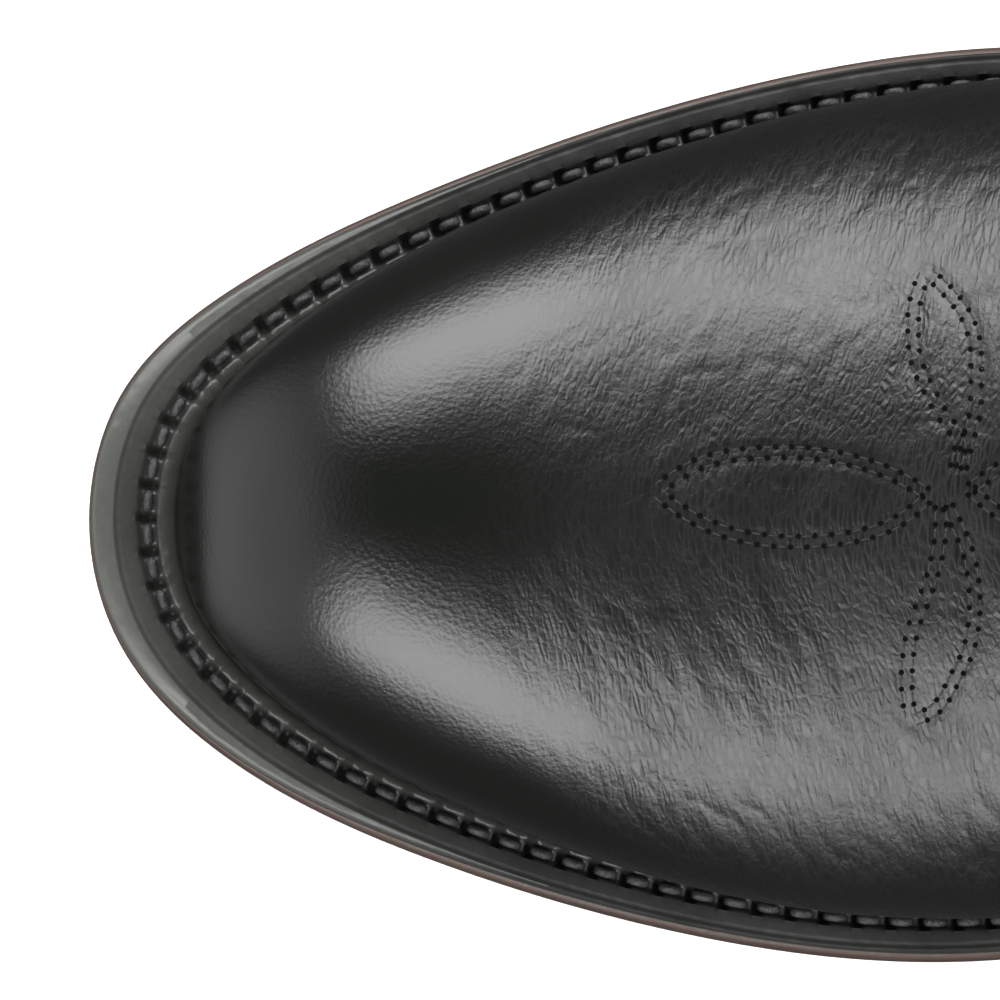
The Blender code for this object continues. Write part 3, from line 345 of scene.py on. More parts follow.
    def sole_under(self, y: Array | float) -> Array:
        """Height of the outsole's underside."""
        share = self.share(y)
        breast = float(self.share(self.breast_y))
        toe = self.toe_spring * np.clip(1 - share / self.flat_from, 0, 1) ** 2
        seat_rise = 0.06 * self.heel_height
        waist = (self.heel_height - seat_rise) * smooth((share - self.flat_to) / (breast - self.flat_to))
        return toe + waist + seat_rise * np.clip((share - breast) / (1 - breast), 0, 1)

    def sole_top(self, y: Array | float) -> Array:
        """Height of the outsole's top face."""
        return self.sole_under(y) + self.outsole

    def upper_foot(self, y: Array | float) -> Array:
        """Height of the upper's lower rim."""
        return self.sole_top(y) + self.foot_gap

    # ---- the upper
    def _profiles(self) -> None:
        """The ridge-and-front line and the back line, each as distances and (y, z) points."""
        top_z = self.shaft_height + self.overrun
        throat_z = self.seat_z + self.throat_rise
        middle = (self.throat_y + self.back_y) / 2
        front_top = middle - self.top_depth * self.top_forward
        back_top = front_top + self.top_depth
        ridge = [(self.tip_y, float(self.upper_foot(self.tip_y)))]
        for share, rise in self.ridge_foot:
            y = self.toe_y + share * self.sole_length
            ridge.append((y, float(self.upper_foot(y)) + rise))
        ridge.append((self.throat_y, throat_z))
        ridge += [(self.throat_y + out * (front_top - self.throat_y), throat_z + up * (top_z - throat_z))
                  for up, out in self.shaft_line]
        self.ridge_s, self.ridge = line_through(ridge, (0, 1))
        back = [(self.back_y, self.seat_z)]
        back += [(self.back_y + out, self.seat_z + up) for out, up in self.heel_curve]
        ankle_y, ankle_z = back[-1]
        back += [(ankle_y + out * (back_top - ankle_y), ankle_z + up * (top_z - ankle_z))
                 for up, out in self.shaft_line[1:]]
        self.back_s, self.back = line_through(back)
        self.length = self.ridge_s[-1]

    def _lead(self) -> Curve:
        """How far the bottom line runs ahead of the ridge's y, at each distance along the ridge."""
        reach = [self.ridge_at_height(self.seat_z + rise) for rise in self.fan_rise]
        level_s = np.linspace(self.ridge_at_height(self.level_from * self.shaft_height), self.length, 3)
        level_z = np.interp(level_s, self.ridge_s, self.ridge[:, 1])
        level_y = np.interp(level_s, self.ridge_s, self.ridge[:, 0])
        climb = np.interp(level_z, self.back[:, 1], self.back_s)
        lead = list(self.fan_lead) + list(self.back_y + climb - level_y)
        self.lead_start = reach[0] - self.fan_start
        return cubic([0, self.lead_start, *reach, *level_s], [0, 0, *lead], 0)

    def ridge_at_height(self, z: float) -> float:
        """Distance along the ridge at which it first reaches height z, past the toe."""
        far = self.ridge[:, 0] > self.toe_y + self.flat_from * self.sole_length
        return float(np.interp(z, self.ridge[far, 1], self.ridge_s[far]))

    def _edge_half(self, side: int, y: Array) -> Array:
        """Half-width of the foot of the upper on one side."""
        edge = self.edges[side]
        return np.abs(np.interp(y, edge[:, 1], edge[:, 0]) - self.axis(y))

    def s_at_place(self, place: Array | float) -> Array:
        """Distance along the ridge of the rung that starts at this place on the bottom line."""
        s = np.linspace(0, self.length, 3000)
        return np.interp(place, self.place(s), s)

    def place(self, s: Array | float) -> Array:
        """Place on the bottom-and-back line: y along the sole, and past it y plus the climb."""
        y = np.interp(s, self.ridge_s, self.ridge[:, 0])
        return y + np.where(np.asarray(s) > self.lead_start, self.lead(s), 0)

    def _widths(self, place: Array, side: Array) -> tuple[Array, Array]:
        """The section's half-width and the angle at which it starts."""
        y_sole = np.clip(place, self.tip_y, self.back_y)
        y_wide = np.minimum(y_sole, self.seat_wide_y)
        half = np.where(side >= 0, self._edge_half(1, y_sole), self._edge_half(-1, y_sole))
        half = np.where(place > self.back_y, 0, half)
        wide = np.where(side >= 0, self._edge_half(1, y_wide), self._edge_half(-1, y_wide))
        wide = np.maximum(wide + self.swell(place), half)
        tiny = 1e-5  # at the toe's tip both widths vanish
        return wide, np.where(place > self.back_y, 0, np.arcsin((half + tiny) / (wide + tiny)))

    def v_max(self, s: Array, side: Array | int) -> Array:
        """The section's angle at the foot of the rung, as a share of the way round from the ridge."""
        return 1 - self._widths(self.place(s), side)[1] / math.pi

    def to_v(self, s: Array, u: Array) -> Array:
        """The angle coordinate v of u. It runs past 1 over the back seam, as u does."""
        return np.where(u > 1, 2 - (2 - u) * self.v_max(s, -1), u * self.v_max(s, np.where(u < 0, -1, 1)))

    def to_u(self, s: Array, v: Array) -> Array:
        """The coordinate u of an angle coordinate v."""
        u = np.where(v > 1, 2 - (2 - v) / self.v_max(s, -1), v / self.v_max(s, np.where(v < 0, -1, 1)))
        return np.where(v > 1, np.maximum(u, 1 + 1e-9), np.clip(u, -1, 1))

    def at_angle(self, s: Array, v: Array, side: Array) -> Array:
        """Points at distance s and angle coordinate v, which may pass the foot of the rung a little."""
        place = self.place(s)
        y_sole = np.clip(place, self.tip_y, self.back_y)
        climb = np.clip(place - self.back_y, 0, None)
        end_y = np.where(climb > 0, np.interp(climb, self.back_s, self.back[:, 0]), y_sole)
        end_z = np.where(climb > 0, np.interp(climb, self.back_s, self.back[:, 1]), self.upper_foot(y_sole))
        top_y = np.interp(s, self.ridge_s, self.ridge[:, 0])
        top_z = np.interp(s, self.ridge_s, self.ridge[:, 1])
        rung = np.hypot(top_y - end_y, top_z - end_z)
        wide, start = self._widths(place, side)
        angle = math.pi * (1 - np.abs(v))
        shaft = smooth((place - self.back_y - self.shaft_from) / self.shaft_over)
        back_reach = self.widest_from_back * (1 - shaft) + rung / 2 * shaft
        back_reach = np.minimum(back_reach, self.widest_share * rung / np.maximum(np.cos(start), 0.05))
        front_reach = rung - back_reach * np.cos(start)
        along = np.where(angle < math.pi / 2, back_reach * (np.cos(start) - np.cos(angle)),
                         back_reach * np.cos(start) - front_reach * np.cos(angle))
        share = along / np.maximum(rung, 1e-9)
        from_tip = place - self.tip_y
        fore = 1 - smooth((from_tip - self.shoulder_fade[0]) / self.shoulder_fade[1])
        near = np.clip((math.pi - angle) / (math.pi - start), 0, 1)
        x = wide * (np.sin(angle) + self.shoulder * fore * np.sin(math.pi * near) ** 2) * side
        ball = smooth(from_tip / self.shift_rise)
        ball = ball * (1 - smooth((from_tip - self.shift_fade) / self.shift_fade))
        x = x + self.axis(y_sole) + self.ridge_shift * ball * smooth(share)
        return np.stack([x, end_y + (top_y - end_y) * share, end_z + (top_z - end_z) * share], axis=-1)

    def point(self, s: Array, u: Array) -> Array:
        """Points of the bare skin at arrays s and u."""
        s, u = np.broadcast_arrays(np.asarray(s, float), np.asarray(u, float))
        side = np.where(u >= 0, 1, -1)
        return self.at_angle(s, np.abs(u) * self.v_max(s, side), side)

    def normal(self, s: Array, u: Array) -> Array:
        """Unit normals of the bare skin, pointing out."""
        s, u = np.broadcast_arrays(np.asarray(s, float), np.asarray(u, float))
        ds, dv = 4e-4, 3e-3
        side = np.where(u >= 0, 1, -1)
        v = np.abs(u) * self.v_max(s, side)
        s0, s1 = np.clip(s - ds, 0, self.length), np.clip(s + ds, 0, self.length)
        along = self.at_angle(s1, v, side) - self.at_angle(s0, v, side)
        over, short_of = self.at_angle(s, dv - v, -side), self.at_angle(s, v - dv, side)
        before = np.where((v < dv)[..., None], over, short_of)
        normal = np.cross(self.at_angle(s, v + dv, side) - before, along) * side[..., None]
        normal[s < 1e-6] = (0, -1, 0)
        return normal / np.linalg.norm(normal, axis=-1)[..., None]

    def relief(self, s: Array, points: Array) -> Array:
        """How far worn-in leather stands off the bare skin: slow waves, and rolls round the ankle."""
        height = points[..., 2]
        free = smooth((height - 0.055) / 0.05) * (1 - smooth((height - 0.295) / 0.02))
        ankle = hump(height, 0.135, 0.030) * free
        bent = points + 0.010 * self.lumps.at(points, 0.030)[..., None]
        rolls = np.sin(bent[..., 2] / 0.0056 + 30 * bent[..., 1]) * ankle
        drape = self.lumps.at(points, (0.05, 0.05, 0.07)) * free
        return -0.00045 * ankle * (1 - rolls) - 0.0006 * (1 + drape) * free

    def layer(self, s: Array, u: Array, depth: Array | float) -> Array:
        """Points that lie depth inside the worn skin."""
        bare = self.point(s, u)
        off = self.relief(s, bare) - depth * np.ones(np.shape(bare)[:-1])
        return bare + self.normal(s, u) * off[..., None]

    # ---- pattern lines
    def quarter_line(self, u: Array) -> Array:
        """The top edge of the vamp: s at each u."""
        a = np.abs(u)
        tongue = (self.s_tongue - self.s_join) * (1 - smooth(a / self.tongue_u))
        dip = np.clip((a - self.sag_from) / (self.join_u - self.sag_from), 0, 1)
        return self.s_join + tongue - self.vamp_sag * np.sin(math.pi * dip) ** 2

    def top_line(self, u: Array) -> Array:
        """The scalloped top of the shaft: s at each u."""
        a = np.abs(u)
        front = self.front_dip * (1 - smooth(a / self.seam_u))
        back = self.back_dip * smooth((a - self.seam_u) / (1 - self.seam_u))
        return self.s_top - front - back

    def heel_top(self, a: Array, edge: float, rise: float) -> tuple[Array, Array]:
        """A top edge round the heel, from |u| = edge on the joining rung to rise over the seat."""
        found = []
        for at in np.atleast_1d(a):
            share, side = 1 - abs(2 * at - 1), 1 if at <= 0.5 else -1
            first = edge * self.v_max(self.s_join, side)
            low = self.point(self.s_join, side * edge)[2]
            v = first + (1 - first) * share
            s = np.linspace(self.s_join, self.s_counter_top + 0.02, 400)
            s = s[self.v_max(s, side) >= v - 1e-9]
            z = self.at_angle(s, v, side)[:, 2]
            wanted = low + (self.seat_z + rise - low) * math.sin(math.pi / 2 * share) ** 2
            made = np.interp(wanted, z, s)
            u = v / float(self.v_max(made, side))
            found.append((made, u if side == 1 else 2 - u + 1e-9))
        pairs = np.array(found).T
        return pairs[0], pairs[1]

    def side_seam(self, s: Array, side: int) -> Array:
        """|u| of the side seam at s: it comes down straight to where the vamp meets the counter."""
        low = self.s_join - self.lap
        v_low = self.join_u * self.v_max(low, side)
        return (v_low + (self.seam_u - v_low) * (s - low) / (self.s_top - low)) / self.v_max(s, side)

    def foot_line(self, a: Array, first: float) -> tuple[Array, Array]:
        """The lower rim round the heel, from place first on the inner side to the same on the outer."""
        share = 1 - np.abs(2 * a - 1)
        place = first + (self.back_y - first) * np.sin(math.pi / 2 * share)
        s = np.where(share >= 1, self.s_seat_end, self.s_at_place(np.minimum(place, self.back_y - 1e-6)))
        return s, np.where(a > 0.5, 1 + 1e-9, 1.0)

    def back_lower(self, s_join: float, share: float = 0.36) -> Line:
        """The lower edge of a back panel: down the rung s_join to the sole, round the heel, and up."""
        def line(a: Array) -> tuple[Array, Array]:
            """(s, u) along the edge."""
            near = 1 - np.abs(2 * a - 1)
            foot = (np.clip(near, share, 1) - share) / (1 - share) / 2
            s_foot = self.foot_line(foot, float(self.place(np.array(s_join))))[0]
            seam = self.join_u + self.seam_u_gap
            down = seam + (1 - seam) * np.clip(near / share, 0, 1)
            s, u = np.where(near < share, s_join, s_foot), np.where(near < share, down, 1.0)
            return s, np.where(a > 0.5, 2 - u + 1e-9, u)
        return line

    def between(self, lower: tuple, upper: tuple, share: float) -> tuple[Array, Array]:
        """(s, u) a share of the way from one pattern line to another, straight in s and in the angle."""
        (s0, u0), (s1, u1) = lower, upper
        s = s0 + (s1 - s0) * share
        v0, v1 = self.to_v(s0, u0), self.to_v(s1, u1)
        v = v0 + (v1 - v0) * share
        # Columns that start and end at the foot follow it all the way.
        side = np.where(u0 < 0, -1, 1)
        near = smooth((np.minimum(np.abs(u0), np.abs(u1)) - self.foot_from) / (1 - self.foot_from))
        near = near * (np.maximum(s0, s1) < self.s_seat_end)
        foot = self.v_max(s, side) - (self.v_max(s0, side) * (1 - share) + self.v_max(s1, side) * share)
        return s, wrap(self.to_u(s, v + side * near * foot))


def wrap(u: Array) -> Array:
    """u past 1 comes round the back seam to the other side."""
    return np.where(u > 1, u - 2, np.where(u < -1, u + 2, u))


def across(a: Array) -> Array:
    """u from the inner side over the ridge to the outer side."""
    return 1 - 2 * a


def around(a: Array, edge: float) -> Array:
    """u from edge on the inner side, round the back seam, to the outer side."""
    return edge + 2 * (1 - edge) * a


# ------------------------------------------------------------------ shader graphs
def arithmetic(operation: str, swapped: bool = False) -> Callable[["Val", Any], "Val"]:
    """An operator of Val.

    Args:
        operation: The Math node's operation.
        swapped: Whether the other value comes first, as in a reflected operator.

    Returns:
        The operator's method.
    """
    def method(value: "Val", other: Any) -> "Val":
        """The operation on both values."""
        return value.math(operation, *((other, value) if swapped else (value, other)))
    return method


class Val:
    """A shader socket that takes part in arithmetic."""

    def __init__(self, graph: "Graph", socket: bpy.types.NodeSocket) -> None:
        """Wraps a socket.

        Args:
            graph: The graph that the socket belongs to.
            socket: An output socket holding a number.
        """
        self.graph, self.socket = graph, socket

    def math(self, operation: str, *values: Any) -> "Val":
        """A Math node on these values."""
        node = self.graph.node("ShaderNodeMath", {"operation": operation}, dict(enumerate(values)))
        return self.graph.out(node)

    __add__, __radd__ = arithmetic("ADD"), arithmetic("ADD", True)
    __sub__, __rsub__ = arithmetic("SUBTRACT"), arithmetic("SUBTRACT", True)
    __mul__, __rmul__ = arithmetic("MULTIPLY"), arithmetic("MULTIPLY", True)
    __pow__ = arithmetic("POWER")

    def fold(self) -> "Val":
        """The size of the value, without its sign."""
        return self.math("ABSOLUTE", self)

    def between(self, low: float, high: float) -> "Val":
        """0 below low, 1 above high, and straight between them."""
        inputs = {0: self, 1: low, 2: high, 3: 0.0, 4: 1.0}
        return self.graph.out(self.graph.node("ShaderNodeMapRange", {"clamp": True}, inputs))


class Graph:
    """The node graph of one material."""

    def __init__(self, name: str) -> None:
        """Starts an empty material.

        Args:
            name: The material's name.
        """
        self.material = bpy.data.materials.new(name)
        self.material.use_nodes = True
        self.tree = self.material.node_tree
        self.tree.nodes.clear()
        self.spot = self.out(self.node("ShaderNodeTexCoord"), "Object")

    def node(self, kind: str, settings: dict | None = None, inputs: dict | None = None) -> bpy.types.Node:
        """A node of any type.

        Args:
            kind: Its bl_idname.
            settings: Its properties.
            inputs: Values or links by socket name or number.

        Returns:
            The node.
        """
        made = self.tree.nodes.new(kind)
        for key, value in (settings or {}).items():
            setattr(made, key, value)
        for key, value in (inputs or {}).items():
            if isinstance(value, Val):
                self.tree.links.new(value.socket, made.inputs[key])
            else:
                colour = made.inputs[key].type == "RGBA"
                made.inputs[key].default_value = (*value, 1.0) if colour else value
        return made

    def out(self, node: bpy.types.Node, output: str | int = 0) -> Val:
        """One output of a node."""
        return Val(self, node.outputs[output])

    def stretch(self, scale: Sequence[float], source: Val | None = None) -> Val:
        """A position multiplied by a scale for each axis."""
        return self.vector("MULTIPLY", source or self.spot, tuple(scale))

    def vector(self, operation: str, *values: Any) -> Val:
        """A Vector Math node on these values."""
        node = self.node("ShaderNodeVectorMath", {"operation": operation}, dict(enumerate(values)))
        return self.out(node)

    def push(self, source: Val, by: Val, amount: float) -> Val:
        """A position moved by a colour's channels, each taken from -0.5 to 0.5."""
        return self.vector("MULTIPLY_ADD", self.vector("SUBTRACT", by, (0.5,) * 3), (amount,) * 3, source)

    def noise(self, scale: float, detail: float = 2.0, rough: float = 0.5, at: Val | None = None,
              output: str = "Fac") -> Val:
        """Cloudy noise from 0 to 1; scale is bumps in a metre."""
        inputs = {"Vector": at or self.spot, "Scale": scale, "Detail": detail, "Roughness": rough}
        return self.out(self.node("ShaderNodeTexNoise", None, inputs), output)

    def cells(self, scale: float, at: Val | None = None, edges: bool = False) -> Val:
        """Distance from the nearest cell's middle, or from its edge."""
        feature = "DISTANCE_TO_EDGE" if edges else "F1"
        inputs = {"Vector": at or self.spot, "Scale": scale}
        return self.out(self.node("ShaderNodeTexVoronoi", {"feature": feature}, inputs))

    def attribute(self, name: str, output: str = "Fac") -> Val:
        """A value stored on the mesh."""
        return self.out(self.node("ShaderNodeAttribute", {"attribute_name": name}), output)

    def mix(self, share: Any, first: Any, second: Any) -> Val:
        """A colour between two."""
        made = self.node("ShaderNodeMix", {"data_type": "RGBA"}, {0: share, 6: first, 7: second})
        return self.out(made, 2)

    def bump(self, height: Val, distance: float, under: Val | None = None) -> Val:
        """A normal bent by a height of up to distance metres."""
        inputs: dict = {"Height": height, "Distance": distance, "Strength": 1.0}
        if under is not None:
            inputs["Normal"] = under
        return self.out(self.node("ShaderNodeBump", None, inputs))

    def finish(self, inputs: dict) -> bpy.types.Material:
        """Ends the graph in a Principled shader.

        Args:
            inputs: Values or links of the shader.

        Returns:
            The material.
        """
        shader = self.node("ShaderNodeBsdfPrincipled", None, inputs)
        self.node("ShaderNodeOutputMaterial", None, {"Surface": self.out(shader)})
        return self.material


def tinted(colour: Colour, amount: float) -> Colour:
    """The colour made lighter or darker."""
    return tuple(amount * c for c in colour)


@dataclass(frozen=True)
class Leather:
    """Aniline calf: a fine pebble, pores, break lines where the mesh says so, painted shade darkening those
    lines, and waxed gloss.
    """

    name: str
    colour: Colour = (0.0024, 0.0029, 0.0023)
    worn: Colour = (0.020, 0.020, 0.019)
    roughness: float = 0.205
    pebble: float = 0.000030
    cell: float = 0.00062
    breaks: float = 0.000048
    # how dark the break lines are painted: painted shade in the creases
    crease_shade: float = 0.8

    def material(self) -> bpy.types.Material:
        """The finish as a material. It reads the attributes wear, crease and flow; the crease lines also
        darken the colour as painted shade.
        """
        g = Graph(self.name)
        wear, crease = g.attribute("wear"), g.attribute("crease")
        flow = g.attribute("flow", "Vector")
        size = 1.0 / self.cell
        wobble = g.noise(size * 0.35, 2.0)
        pebble = g.cells(size) + 0.35 * g.cells(size * 2.1) + 0.25 * wobble
        fine = g.noise(size * 3.4, 3.0, 0.6)
        slow = g.noise(55.0, 3.0, 0.55)
        cloud = g.noise(16.0, 2.0)
        swirl = g.noise(420.0, output="Color")
        bent = g.push(g.stretch((340.0, 1180.0, 1.0), flow), swirl, 0.50)
        broken = 1.0 - g.cells(1.0, bent, True).between(0.0, 0.30)
        wide = g.push(g.stretch((150.0, 210.0, 60.0)), swirl, 0.30)
        veins = 1.0 - g.cells(1.0, wide, True).between(0.0, 0.035)
        patchy = g.noise(70.0, 2.0).between(0.40, 0.62)
        lines = crease * (broken * (0.45 + 0.55 * patchy) + veins * 0.22 * cloud.between(0.52, 0.62))
        skin = g.bump(pebble * 0.7 + 0.45 * fine, self.pebble)
        creased = g.bump(1.0 - lines, self.breaks, skin)
        waved = g.bump(slow, 0.00012, creased)
        tone = g.mix(cloud.between(0.35, 0.75) * 0.4, self.colour, tinted(self.colour, 1.5))
        # Painted shade: the break lines darken the colour as if shade lay in the creases.
        dark = g.mix(lines.between(0.3, 1.4) * self.crease_shade, tone, tinted(self.colour, 0.5))
        colour = g.mix(wear * (0.25 + 0.75 * fine), dark, self.worn)
        rough = (self.roughness - 0.03 + 0.07 * fine + 0.05 * slow.between(0.3, 0.7) + 0.16 * wear
                 + 0.10 * crease * cloud.between(0.3, 0.7) + 0.10 * lines)
        return g.finish({"Base Color": colour, "Roughness": rough, "Normal": waved})


@dataclass(frozen=True)
class EdgeLeather:
    """Dressed edges of firm leather: fibres run along the edge, ink is rubbed thin at the corners."""

    name: str
    ink: Colour = (0.009, 0.010, 0.009)
    raw: Colour = (0.034, 0.015, 0.011)
    roughness: float = 0.34
    fibre: float = 0.00005
    # the rubbed colour: real rubbing, and on the welt's outer band at the toe also a painted reflection
    rubbed: Colour = (0.062, 0.064, 0.056)

    def material(self) -> bpy.types.Material:
        """The finish as a material. It reads the attributes wear and bare."""
        g = Graph(self.name)
        wear, bare = g.attribute("wear"), g.attribute("bare")
        strands = g.noise(1.0, 4.0, 0.65, g.stretch((500.0, 500.0, 5200.0)))
        grain = g.noise(1500.0, 3.0, 0.6)
        patch = g.noise(70.0, 3.0)
        shown = bare * (0.45 + 0.9 * strands)
        ink = g.mix(patch.between(0.35, 0.7) * 0.5, self.ink, tinted(self.ink, 1.9))
        # Wear and painted reflection: the rubbed colour shows where wear is high. On the welt's outer band
        # toward the toe it also paints a reflection of the wall ahead.
        wear_and_painted_reflection = g.mix(wear * (0.7 + 0.5 * grain), ink, self.rubbed)
        colour = g.mix(shown.between(0.15, 1.0), wear_and_painted_reflection, self.raw)
        normal = g.bump(0.6 * strands + 0.5 * grain, self.fibre)
        rough = self.roughness - 0.05 + 0.14 * grain + 0.12 * patch.between(0.3, 0.7) + 0.15 * bare
        return g.finish({"Base Color": colour, "Roughness": rough, "Normal": normal})


@dataclass(frozen=True)
class SoleHide:
    """The tread: oak-tanned leather with a burnished reddish face and fine scuffs."""

    name: str
    colour: Colour = (0.075, 0.028, 0.017)
    light: Colour = (0.150, 0.070, 0.040)

    def material(self) -> bpy.types.Material:
        """The finish as a material. It reads the attribute bare, which is 0 where edge ink covers it."""
        g = Graph(self.name)
        bare = g.attribute("bare")
        hide, fine = g.noise(38.0, 5.0, 0.6), g.noise(900.0, 4.0, 0.6)
        scuff = g.noise(1.0, 3.0, 0.7, g.stretch((900.0, 120.0, 300.0)))
        scratch = (1.0 - (scuff * 2.0 - 1.0).fold()) ** 12.0
        face = g.mix(hide.between(0.3, 0.75), self.colour, self.light)
        face = g.mix(scratch * 0.35, face, tinted(self.light, 1.3))
        colour = g.mix(bare.between(0.0, 1.0), (0.015, 0.014, 0.013), face)
        normal = g.bump(fine + 0.4 * hide - 0.3 * scratch, 0.00005)
        rough = 0.36 + 0.16 * fine + 0.10 * hide.between(0.3, 0.7)
        return g.finish({"Base Color": colour, "Roughness": rough, "Normal": normal})


@dataclass(frozen=True)
class Thread:
    """Waxed thread: two plies twisted together."""

    name: str
    colour: Colour = (0.004, 0.004, 0.004)
    roughness: float = 0.45
    twist: float = 2600.0
    lumps: float = 0.00006

    def material(self) -> bpy.types.Material:
        """The finish as a material."""
        g = Graph(self.name)
        ply = g.noise(1.0, 2.0, 0.6, g.stretch((self.twist,) * 3))
        fuzz = g.noise(9000.0, 2.0)
        colour = g.mix(ply.between(0.3, 0.7), self.colour, tinted(self.colour, 2.4))
        return g.finish({"Base Color": colour, "Roughness": self.roughness + 0.2 * fuzz,
                         "Normal": g.bump(ply + 0.3 * fuzz, self.lumps)})


@dataclass(frozen=True)
class Plain:
    """A matt material with a cloudy tone and a grain: board, cork, rubber, cloth or metal, and the painted
    shade in needle holes.
    """

    name: str
    dark: Colour
    light: Colour
    roughness: float
    grain: float = 900.0
    depth: float = 0.00004
    metallic: float = 0.0
    spots: float = 0.0
    shine: float = 0.5

    def material(self) -> bpy.types.Material:
        """The finish as a material."""
        g = Graph(self.name)
        fine, cloud = g.noise(self.grain, 4.0, 0.6), g.noise(self.grain / 14.0, 3.0)
        tone = g.mix((0.5 * fine + 0.5 * cloud).between(0.35, 0.65), self.dark, self.light)
        if self.spots:
            flake = g.cells(self.spots).between(0.10, 0.35)
            tone = g.mix((1.0 - flake) * 0.7, tone, tinted(self.dark, 0.45))
        return g.finish({"Base Color": tone, "Roughness": self.roughness - 0.06 + 0.12 * fine,
                         "Normal": g.bump(fine, self.depth), "Metallic": self.metallic,
                         "Specular IOR Level": self.shine})


class Finish(Enum):
    """Every finish of the boot."""

    VAMP = Leather("vamp_leather")
    COUNTER = Leather("counter_leather", roughness=0.29)
    SHAFT = Leather("shaft_leather", roughness=0.33, cell=0.00075, pebble=0.00003, breaks=0.00010)
    TRIM = Leather("trim_leather", roughness=0.31, cell=0.0005)
    STRAP = Leather("strap_leather", roughness=0.34, cell=0.0006, pebble=0.00003)
    LINING = Leather("lining_leather", (0.36, 0.215, 0.115), (0.44, 0.30, 0.19), 0.55, 0.00004, 0.0008,
                     0.0001)
    SOCK = Leather("sock_leather", (0.33, 0.19, 0.10), (0.40, 0.27, 0.17), 0.48, 0.00003, 0.0008, 0.0001)
    WELT = EdgeLeather("welt_leather")
    RAND = EdgeLeather("rand_leather", roughness=0.38)
    LIFT = EdgeLeather("heel_lift_leather", (0.013, 0.012, 0.011), (0.11, 0.055, 0.030), 0.32, 0.00007)
    SOLE = SoleHide("sole_leather")
    THREAD = Thread("stitch_thread")
    SHAFT_THREAD = Thread("shaft_thread", (0.012, 0.012, 0.012), 0.40)
    WELT_THREAD = Thread("welt_thread", (0.010, 0.011, 0.0105), 0.32, 900.0, 0.00030)
    # Painted shade: near black with almost no specular, standing in for the shade inside needle holes.
    HOLE_SHADE = Plain("needle_hole_shade", (0.001, 0.001, 0.001), (0.002, 0.002, 0.002), 0.9, shine=0.05)
    RUBBER = Plain("heel_rubber", (0.014, 0.014, 0.014), (0.026, 0.026, 0.026), 0.62, 1400.0, 0.00008)
    STEEL = Plain("steel", (0.30, 0.29, 0.28), (0.52, 0.51, 0.50), 0.36, 1600.0, 0.00002, 1.0)
    BOARD = Plain("leatherboard", (0.27, 0.19, 0.12), (0.40, 0.30, 0.20), 0.85, 700.0, 0.0001, 0.0, 500.0)
    CORK = Plain("cork", (0.30, 0.17, 0.08), (0.46, 0.30, 0.17), 0.9, 500.0, 0.0002, 0.0, 320.0)

    @property
    def made(self) -> bpy.types.Material:
        """The finish's material, built when it is first asked for."""
        if self not in _MADE:
            _MADE[self] = self.value.material()
        return _MADE[self]


_MADE: dict[Finish, bpy.types.Material] = {}


# ------------------------------------------------------------------ meshes
def new_piece(name: str, points: Array, faces: Any, finish: Finish, body: str = "boot",
              slot: str | None = None, marks: dict[str, Array] | None = None,
              replaces: Sequence[str] = (), crease_angle: float = 50.0) -> bpy.types.Object:
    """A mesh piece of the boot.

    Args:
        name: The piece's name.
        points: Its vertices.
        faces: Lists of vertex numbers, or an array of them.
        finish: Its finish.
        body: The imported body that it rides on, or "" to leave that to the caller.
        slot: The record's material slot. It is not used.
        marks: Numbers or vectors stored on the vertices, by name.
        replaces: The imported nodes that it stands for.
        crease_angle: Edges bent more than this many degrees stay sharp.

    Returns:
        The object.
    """
    mesh = bpy.data.meshes.new(name)
    points = np.asarray(points, np.float32)
    if isinstance(faces, np.ndarray):
        size = faces.shape[1]
        mesh.vertices.add(len(points))
        mesh.vertices.foreach_set("co", points.ravel())
        mesh.loops.add(faces.size)
        mesh.loops.foreach_set("vertex_index", faces.astype(np.int32).ravel())
        mesh.polygons.add(len(faces))
        mesh.polygons.foreach_set("loop_start", np.arange(0, faces.size, size, dtype=np.int32))
        mesh.update(calc_edges=True)
    else:
        mesh.from_pydata(points.tolist(), [], [list(map(int, face)) for face in faces])
    for key, value in (marks or {}).items():
        value = np.asarray(value, np.float32)
        kind = "FLOAT_VECTOR" if value.ndim > 1 else "FLOAT"
        stored = mesh.attributes.new(key, kind, "POINT")
        stored.data.foreach_set("vector" if value.ndim > 1 else "value", value.ravel())
    mesh.validate()
    mesh.shade_smooth()
    mesh.set_sharp_from_angle(angle=math.radians(crease_angle))
    made = bpy.data.objects.new(name, mesh)
    bpy.context.scene.collection.objects.link(made)
    mesh.materials.append(finish.made)
    if body:
        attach(made, body)
    if replaces:
        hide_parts(*replaces)
    LOG.info("%s: %d faces", name, len(mesh.polygons))
    return made


def grid_faces(rows: int, columns: int, start: int = 0, close: bool = False) -> Array:
    """Quads between rows of points.

    Args:
        rows: How many rows of points.
        columns: How many points in a row.
        start: The number of the first point.
        close: Whether each row's end joins its start.

    Returns:
        An array of quads.
    """
    spans = columns if close else columns - 1
    r, c = np.meshgrid(np.arange(rows - 1), np.arange(spans), indexing="ij")
    a, b = r * columns + c, r * columns + (c + 1) % columns
    return np.stack([a, b, b + columns, a + columns], axis=-1).reshape(-1, 4) + start


def tube_faces(rings: int, around_it: int) -> list[list[int]]:
    """Faces of a closed tube through rings of points, with its two ends filled."""
    faces = grid_faces(rings, around_it, 0, True).tolist()
    ends = list(range(around_it))[::-1], list(range((rings - 1) * around_it, rings * around_it))
    return [*faces, *ends]


